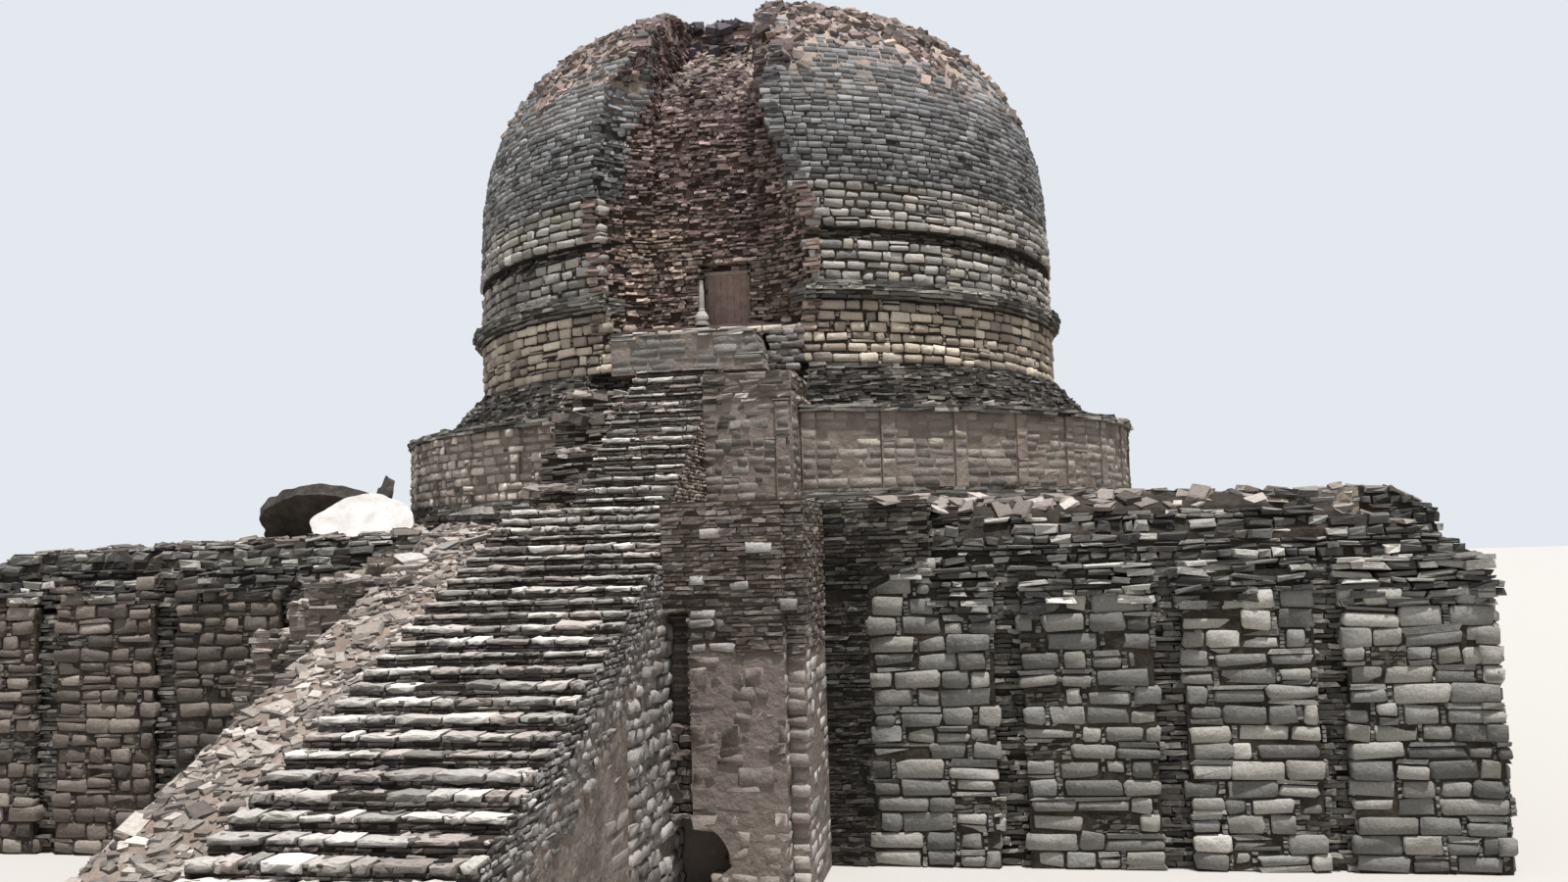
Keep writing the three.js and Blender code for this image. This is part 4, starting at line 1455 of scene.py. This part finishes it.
# The flank's render and stones lie in bands that follow the stair down.
def layFlank():
    draws = np.random.default_rng(53)
    low, high = boxOf("lower_flight")
    slope = (high[2] - low[2]) / (high[1] - low[1])
    bulgeFrom = -24.9
    batch = {}

    def drop(point):
        return (point[1] - low[1]) * slope - point[2] + 0.25 * noise.noise(Vector(point) * 0.8)

    def bandZone(least, most, nearPier=None):
        def zone(point, normal):
            if nearPier is not None and (point[1] > bulgeFrom) != nearPier:
                return False
            return normal[0] > mostly and least <= drop(point) < most
        return zone

    for least, most, nearPier, height, style in (
        (-1, 0.25, None, 0.1, flankSlabs),
        (0.25, 1.5, None, 0.19, flankStones),
        (1.5, 9, True, 0.3, flankBoulders),
        (1.5, 9, False, 0.36, flankBlocks),
    ):
        levels = (pierFoot, 8.2, height, 0.25)
        layCourses(batch, "lower_flank_right", levels, style, draws, bandZone(least, most, nearPier))
    layMesh("flankStones", batch, "dressedBlocks", draws)


def layRightPier():
    draws = np.random.default_rng(59)
    name = "lower_pier_right"
    low, high = boxOf(name)
    batch = {}
    quoinFrom = high[0] - 0.5
    slotTo = low[0] + 0.58
    repairFrom = 5
    renderTo = 5.6

    def filledSlot(point):
        return point[0] < slotTo and point[2] < 3.6

    def repaired(point, normal):
        inside = slotTo < point[0] < 3.1 + noise.noise(Vector(point) * 2)
        return towardsFront(normal) and inside and repairFrom < point[2] < 6.1

    def upperZone(point, normal):
        if repaired(point, normal):
            return False
        above = point[2] > 5.15 + 0.5 * noise.noise(Vector(point))
        return above or (point[0] < slotTo and not filledSlot(point))

    def lowerFront(point, normal):
        return towardsFront(normal) and not upperZone(point, normal) and slotTo < point[0] < quoinFrom

    def lowerSide(point, normal):
        return normal[0] > mostly and point[2] < renderTo

    def quoinZone(point, normal):
        return towardsFront(normal) and point[0] > quoinFrom and point[2] < 5.4

    fill = dict(pierSlabs, depth=0.7, proud=(0.38, 0.55), length=(0.18, 0.4))
    mended = dict(quoins, length=(0.3, 0.6), proud=(0.0, 0.08), missing=0, colours=flankBoulders["colours"])
    layRows(
        batch, name, draws,
        ((pierFoot, 8.28, 0.088, 0.25), pierSlabs, upperZone),
        ((pierFoot, renderTo, 0.29, 0.3), pierBlocks, lowerFront),
        ((1.5, 3.6, 0.14, 0.25), fill, lambda p, n: filledSlot(p) and towardsFront(n)),
        ((5.1, 6.05, 0.27, 0.15), mended, repaired),
        ((pierFoot, renderTo, 0.3, 0.2), quoins, quoinZone),
        ((pierFoot, renderTo, 0.27, 0.15), pierSideStones, lowerSide),
    )
    # A few bigger field stones stand out among the thin slabs.
    for across, level, half in (
        (2.71, 7.63, (0.18, 0.22, 0.09)),
        (3.75, 7.28, (0.2, 0.3, 0.12)),
        (2.4, 6.64, (0.18, 0.16, 0.1)),
        (3.3, 6.5, (0.18, 0.2, 0.08)),
        (4.35, 6.1, (0.16, 0.17, 0.11)),
    ):
        centre = np.array([across, -22.2 + half[0] - 0.07, level])
        colour = stoneColour(pierSideStones, centre, draws)
        placeStone(batch, "facing", centre, half, 0.05, 0.015, colour)
    layMesh("pierRightStones", batch, "dressedBlocks", draws)


bankSlabs = dict(
    form="lump", length=(0.22, 0.7), joint=0.015, bed=0.02, depth=0.5, proud=(-0.04, 0.16),
    radius=0.03, rough=0.015, tilt=0.05, roll=0.05, spread=0.24, missing=0.05, wave=0.03,
    colours=palette("#625a50 #746b60 #4d463e #857c70 #5b534a #9a9186"),
)
looseSlabs = dict(
    form="chip", width=(0.06, 0.22), thick=(0.3, 0.6), sunk=(0.1, 0.5), radius=0.02,
    rough=0.012, lean=0.16, spread=0.22, clouds=0.3,
    colours=palette("#796f65 #6a6056 #887e73 #5a5149 #7f7367 #958c81"),
)


def layLeftRuin():
    draws = np.random.default_rng(61)
    name = "lower_pier_left_ruin"
    batch = {}
    layCourses(
        batch, name, (pierFoot, 8.1, 0.125, 0.3), bankSlabs, draws,
        lambda p, n: n[2] < 0.4, shortest=0.2,
    )
    bigger = dict(looseSlabs, form="clod", width=(0.2, 0.36), thick=(0.2, 0.4))
    scatterStones(batch, name, 30, looseSlabs, draws, lambda p, n: p[0] > -9.5)
    scatterStones(batch, name, 2, bigger, draws)
    paler = dict(
        looseSlabs, form="clod", width=(0.25, 0.6), thick=(0.15, 0.3), colours=treadSlabs["colours"],
    )
    scatterStones(batch, name, 2, paler, draws, lambda p, n: p[2] > 6.6)
    # The bank's stones get a little painted highlight on top and painted shade below.
    layMesh("bankStones", batch, "splitSchist", draws, dustAndPaintedLight=0.15)


# Upper stair piers and the patch wall under the door

upperPierBlocks = dict(
    form="facing", length=(0.22, 0.6), joint=0.03, bed=0.03, depth=0.2, proud=(0, 0.045),
    radius=0.035, rough=0.012, tilt=0.02, spread=0.14, missing=0.12, topped=0.2,
    colours=palette("#6b635b #756e65 #615951 #7b756b #837d74"),
)
patchBlocks = dict(
    upperPierBlocks, length=(0.45, 0.9), missing=0.05, proud=(0.0, 0.03),
    colours=palette("#6d6861 #757069 #645f5a #7e786f"),
)


def layUpperPiers():
    draws = np.random.default_rng(67)
    batch = {}
    layRows(
        batch, "upper_pier_right", draws,
        ((8.32, 11.3, 0.24, 0.15), upperPierBlocks, lambda p, n: p[2] < 11.2),
        ((11.3, 12.13, 0.16, 0.25), dict(bankSlabs, proud=(0, 0.08))),
    )
    layMesh("upperPierRightStones", batch, "dressedBlocks", draws)
    batch = {}
    name = "upper_pier_left_ruin"
    layCourses(batch, name, (8.32, 11.9, 0.115, 0.3), bankSlabs, draws, lambda p, n: n[2] < 0.6)
    scatterStones(batch, name, 9, dict(looseSlabs, form="clod", width=(0.25, 0.6)), draws)
    layMesh("upperPierLeftStones", batch, "splitSchist", draws)


def layPatchWall():
    draws = np.random.default_rng(71)
    batch = {}
    layRows(
        batch, "door_patch_wall", draws,
        ((12.65, 13.7, 0.26, 0.1), patchBlocks),
        ([13.7, 13.79, 13.87], dict(edgeSlabs, depth=0.5, proud=(0.0, 0.06))),
    )
    # Slabs along its top are painted half again as light as the tread slabs, a painted highlight for their
    # lit tops, and field stones pack the corner beside the drum.
    for across, level, half in (
        (-2, 13.92, (0.2, 0.25, 0.07)),
        (-0.75, 13.9, (0.15, 0.18, 0.05)),
        (-0.17, 13.94, (0.25, 0.4, 0.08)),
        (0.95, 13.95, (0.25, 0.38, 0.07)),
        (1.45, 13.9, (0.15, 0.2, 0.06)),
    ):
        centre = np.array([across, -10.85, level])
        up = unit(np.array([draws.normal(0, 0.1), draws.normal(0, 0.1), 1]))
        # Painted highlight: half again lighter than the tread slabs.
        colour = 1.5 * stoneColour(treadSlabs, centre, draws)
        placeStone(batch, "lump", centre, half, 0.03, 0.02, colour, up)
    for row, level in enumerate(np.arange(12.78, 13.85, 0.21)):
        for along in (2.03, 2.4, 2.72):
            centre = np.array([along + 0.17 * (row % 2), -10.5, level]) + draws.normal(0, 0.025, 3)
            colour = stoneColour(flankBoulders, centre, draws)
            half = (0.25, draws.uniform(0.14, 0.21), 0.09)
            placeStone(batch, "facing", centre, half, 0.04, 0.02, colour)
    layMesh("patchWallStones", batch, "dressedBlocks", draws)


# Loose stones on the level tops

terraceStones = dict(looseSlabs, form="clod", width=(0.12, 0.4), follow=1, flattest=0.9)


def layTerraceStones():
    draws = np.random.default_rng(73)
    batch = {}
    scatterStones(batch, "podium_core", 1.1, terraceStones, draws, lambda p, n: p[2] > 7.5)
    edge = dict(terraceStones, width=(0.15, 0.48), thick=(0.18, 0.4), sunk=(0.1, 0.5))
    for name in ("crown_front_right", "crown_front_left", "crown_back"):
        scatterStones(batch, name, 5, edge, draws)
    scatterStones(batch, "podium_front_wall_right", 4, edge, draws, lambda p, n: p[2] > 8.2 and p[0] < 7.1)
    scatterStones(batch, "podium_front_wall_left", 4, edge, draws, lambda p, n: p[2] > 7.5 and p[0] < -7.2)
    scatterStones(batch, "lower_drum_cap", 1.5, terraceStones, draws)
    scatterStones(batch, "cornice_left", 1, terraceStones, draws)
    layMesh("terraceSlabs", batch, "splitSchist", draws)


boulders = dict(
    form="clod", width=(0.25, 0.75), thick=(0.35, 0.8), sunk=(0.2, 0.6), radius=0.08,
    rough=0.03, lean=0.25, spread=0.2, flattest=0.1,
    colours=palette("#6b625c #7a7068 #59504b #867c74 #62554f"),
)


# Big dark stones stand up along the back of the break, where the summit was dug away.
crestStones = dict(
    boulders, width=(0.22, 0.55), thick=(0.5, 0.9), sunk=(-0.3, 0.3), lean=0.35, flattest=0.5,
    colours=palette("#4b4547 #3a3537 #5b5456 #332f31 #625a5a"),
)


def onCrest(point, normal):
    near = -4.6 + 0.25 * abs(point[0])
    far = 1.4 * noise.noise(Vector(point) * 0.7) - 0.6
    return point[2] > 25.2 and -5.6 < point[0] < 0.3 and near < point[1] < far


def layCrest():
    draws = np.random.default_rng(79)
    batch = {}
    scatterStones(batch, "summit_rubble", 9, boulders, draws)
    for name in ("summit_rubble", "dome_shell_front_left", "dome_shell_back"):
        scatterStones(batch, name, 12, crestStones, draws, onCrest)
    slope = dict(boulders, width=(0.1, 0.32), thick=(0.3, 0.7), colours=soilClods["colours"])
    scatterStones(batch, "dome_core", 14, slope, draws, lambda p, n: p[2] > 22 and p[1] < 3)
    layMesh("crestBoulders", batch, "coreSlabs", draws)


layFlight("lower_flight", "lowerFlightSlabs", 47)
layFlight("upper_flight", "upperFlightSlabs", 49)
layFlank()
layRightPier()
layLeftRuin()
layUpperPiers()
layPatchWall()
layTerraceStones()
layCrest()


# Door

# Distances are from the sides of the leaf, but for the bevel and the gap between boards.
planks = {
    "count": 6, "gap": 0.008, "thick": 0.012, "inset": 0.01, "bevel": 0.004,
    "jag": 0.03,  # the most that a board's ends stop short
    "heel": 0.09,  # the boards stop this short of the round heel post
    "ends": 0.015, "face": 0.03, "back": 0.05,
}


def addBoard(bm, low, high):
    corners = bmesh.ops.create_cube(bm, size=1)["verts"]
    size = Vector(high) - Vector(low)
    for v in corners:
        v.co = Vector(low) + Vector([(v.co[i] + 0.5) * size[i] for i in range(3)])
    edges = [edge for edge in bm.edges if edge.verts[0] in corners]
    bmesh.ops.bevel(
        bm, geom=edges, offset=planks["bevel"], offset_type="OFFSET", segments=1, profile=0.5,
        affect="EDGES", material=-1,
    )


# Upright boards on the outside of the leaf.
def layDoor():
    draws = np.random.default_rng(83)
    low, high = boxOf("door_leaf")
    bm = bmesh.new()
    left = low[0] + planks["inset"]
    width = (high[0] - planks["heel"] - left) / planks["count"]
    for i in range(planks["count"]):
        jag = draws.uniform(0, planks["jag"])
        face = low[1] + planks["face"] - planks["thick"] * draws.uniform(0.7, 1.1)
        foot = low[2] + planks["ends"] + jag / 2
        head = high[2] - planks["ends"] - jag
        start = left + i * width + planks["gap"] / 2
        end = left + (i + 1) * width - planks["gap"] / 2
        addBoard(bm, (start, face, foot), (end, low[1] + planks["back"], head))
    bmesh.ops.scale(bm, vec=Vector((realMetre,) * 3), verts=bm.verts)
    addPiece("doorBoards", meshFrom(bm, "doorBoards"), "doorTimber", "door")


layDoor()


# Fallen discs and slab, with chipped rims and weathered faces

wear = {
    "longestEdge": 0.16, "rounds": 5,
    "rimWaves": 2.6, "rimBias": 0.1, "biteWaves": 3, "biteShare": 0.3, "reliefWaves": 2.2,
}


def layWorn(source, title, finish, chip, relief, offset):
    bm = bmesh.new()
    bm.from_mesh(nodes[source].data)
    bmesh.ops.remove_doubles(bm, verts=bm.verts, dist=1e-5)
    for _ in range(wear["rounds"]):
        bmesh.ops.triangulate(bm, faces=bm.faces)
        long = [edge for edge in bm.edges if edge.calc_length() > wear["longestEdge"] * realMetre]
        bmesh.ops.subdivide_edges(bm, edges=long, cuts=1)
    bmesh.ops.triangulate(bm, faces=bm.faces)
    middle = sum((v.co for v in bm.verts), Vector()) / len(bm.verts)
    reach = max((v.co - middle).length for v in bm.verts)
    shift = Vector((offset, 0, 0))
    for v in bm.verts:
        place = v.co / realMetre
        outward = v.co - middle
        bite = max(noise.noise(outward.normalized() * wear["rimWaves"] + shift) + wear["rimBias"], 0)
        bite += max(noise.noise(place * wear["biteWaves"]), 0) * wear["biteShare"]
        v.co = v.co - outward * chip * bite * (outward.length / reach) ** 3
        v.co += noise.noise_vector(place * wear["reliefWaves"]) * relief * realMetre
    piece = addPiece(title, meshFrom(bm, title), finish, "masonry")
    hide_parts(source)


layWorn("fallen_disc_rear", "fallenDiscRear", "discPaintedShade", 0.35, 0.05, 3)
layWorn("fallen_disc_front", "fallenDiscFront", "paleDiscPaintedSunlit", 0.45, 0.03, 11)
layWorn("fallen_disc_leaning", "fallenDiscLeaning", "discPaintedShade", 0.4, 0.04, 17)
layWorn("fallen_slab", "fallenSlabWorn", "greyCarving", 0.12, 0.04, 23)
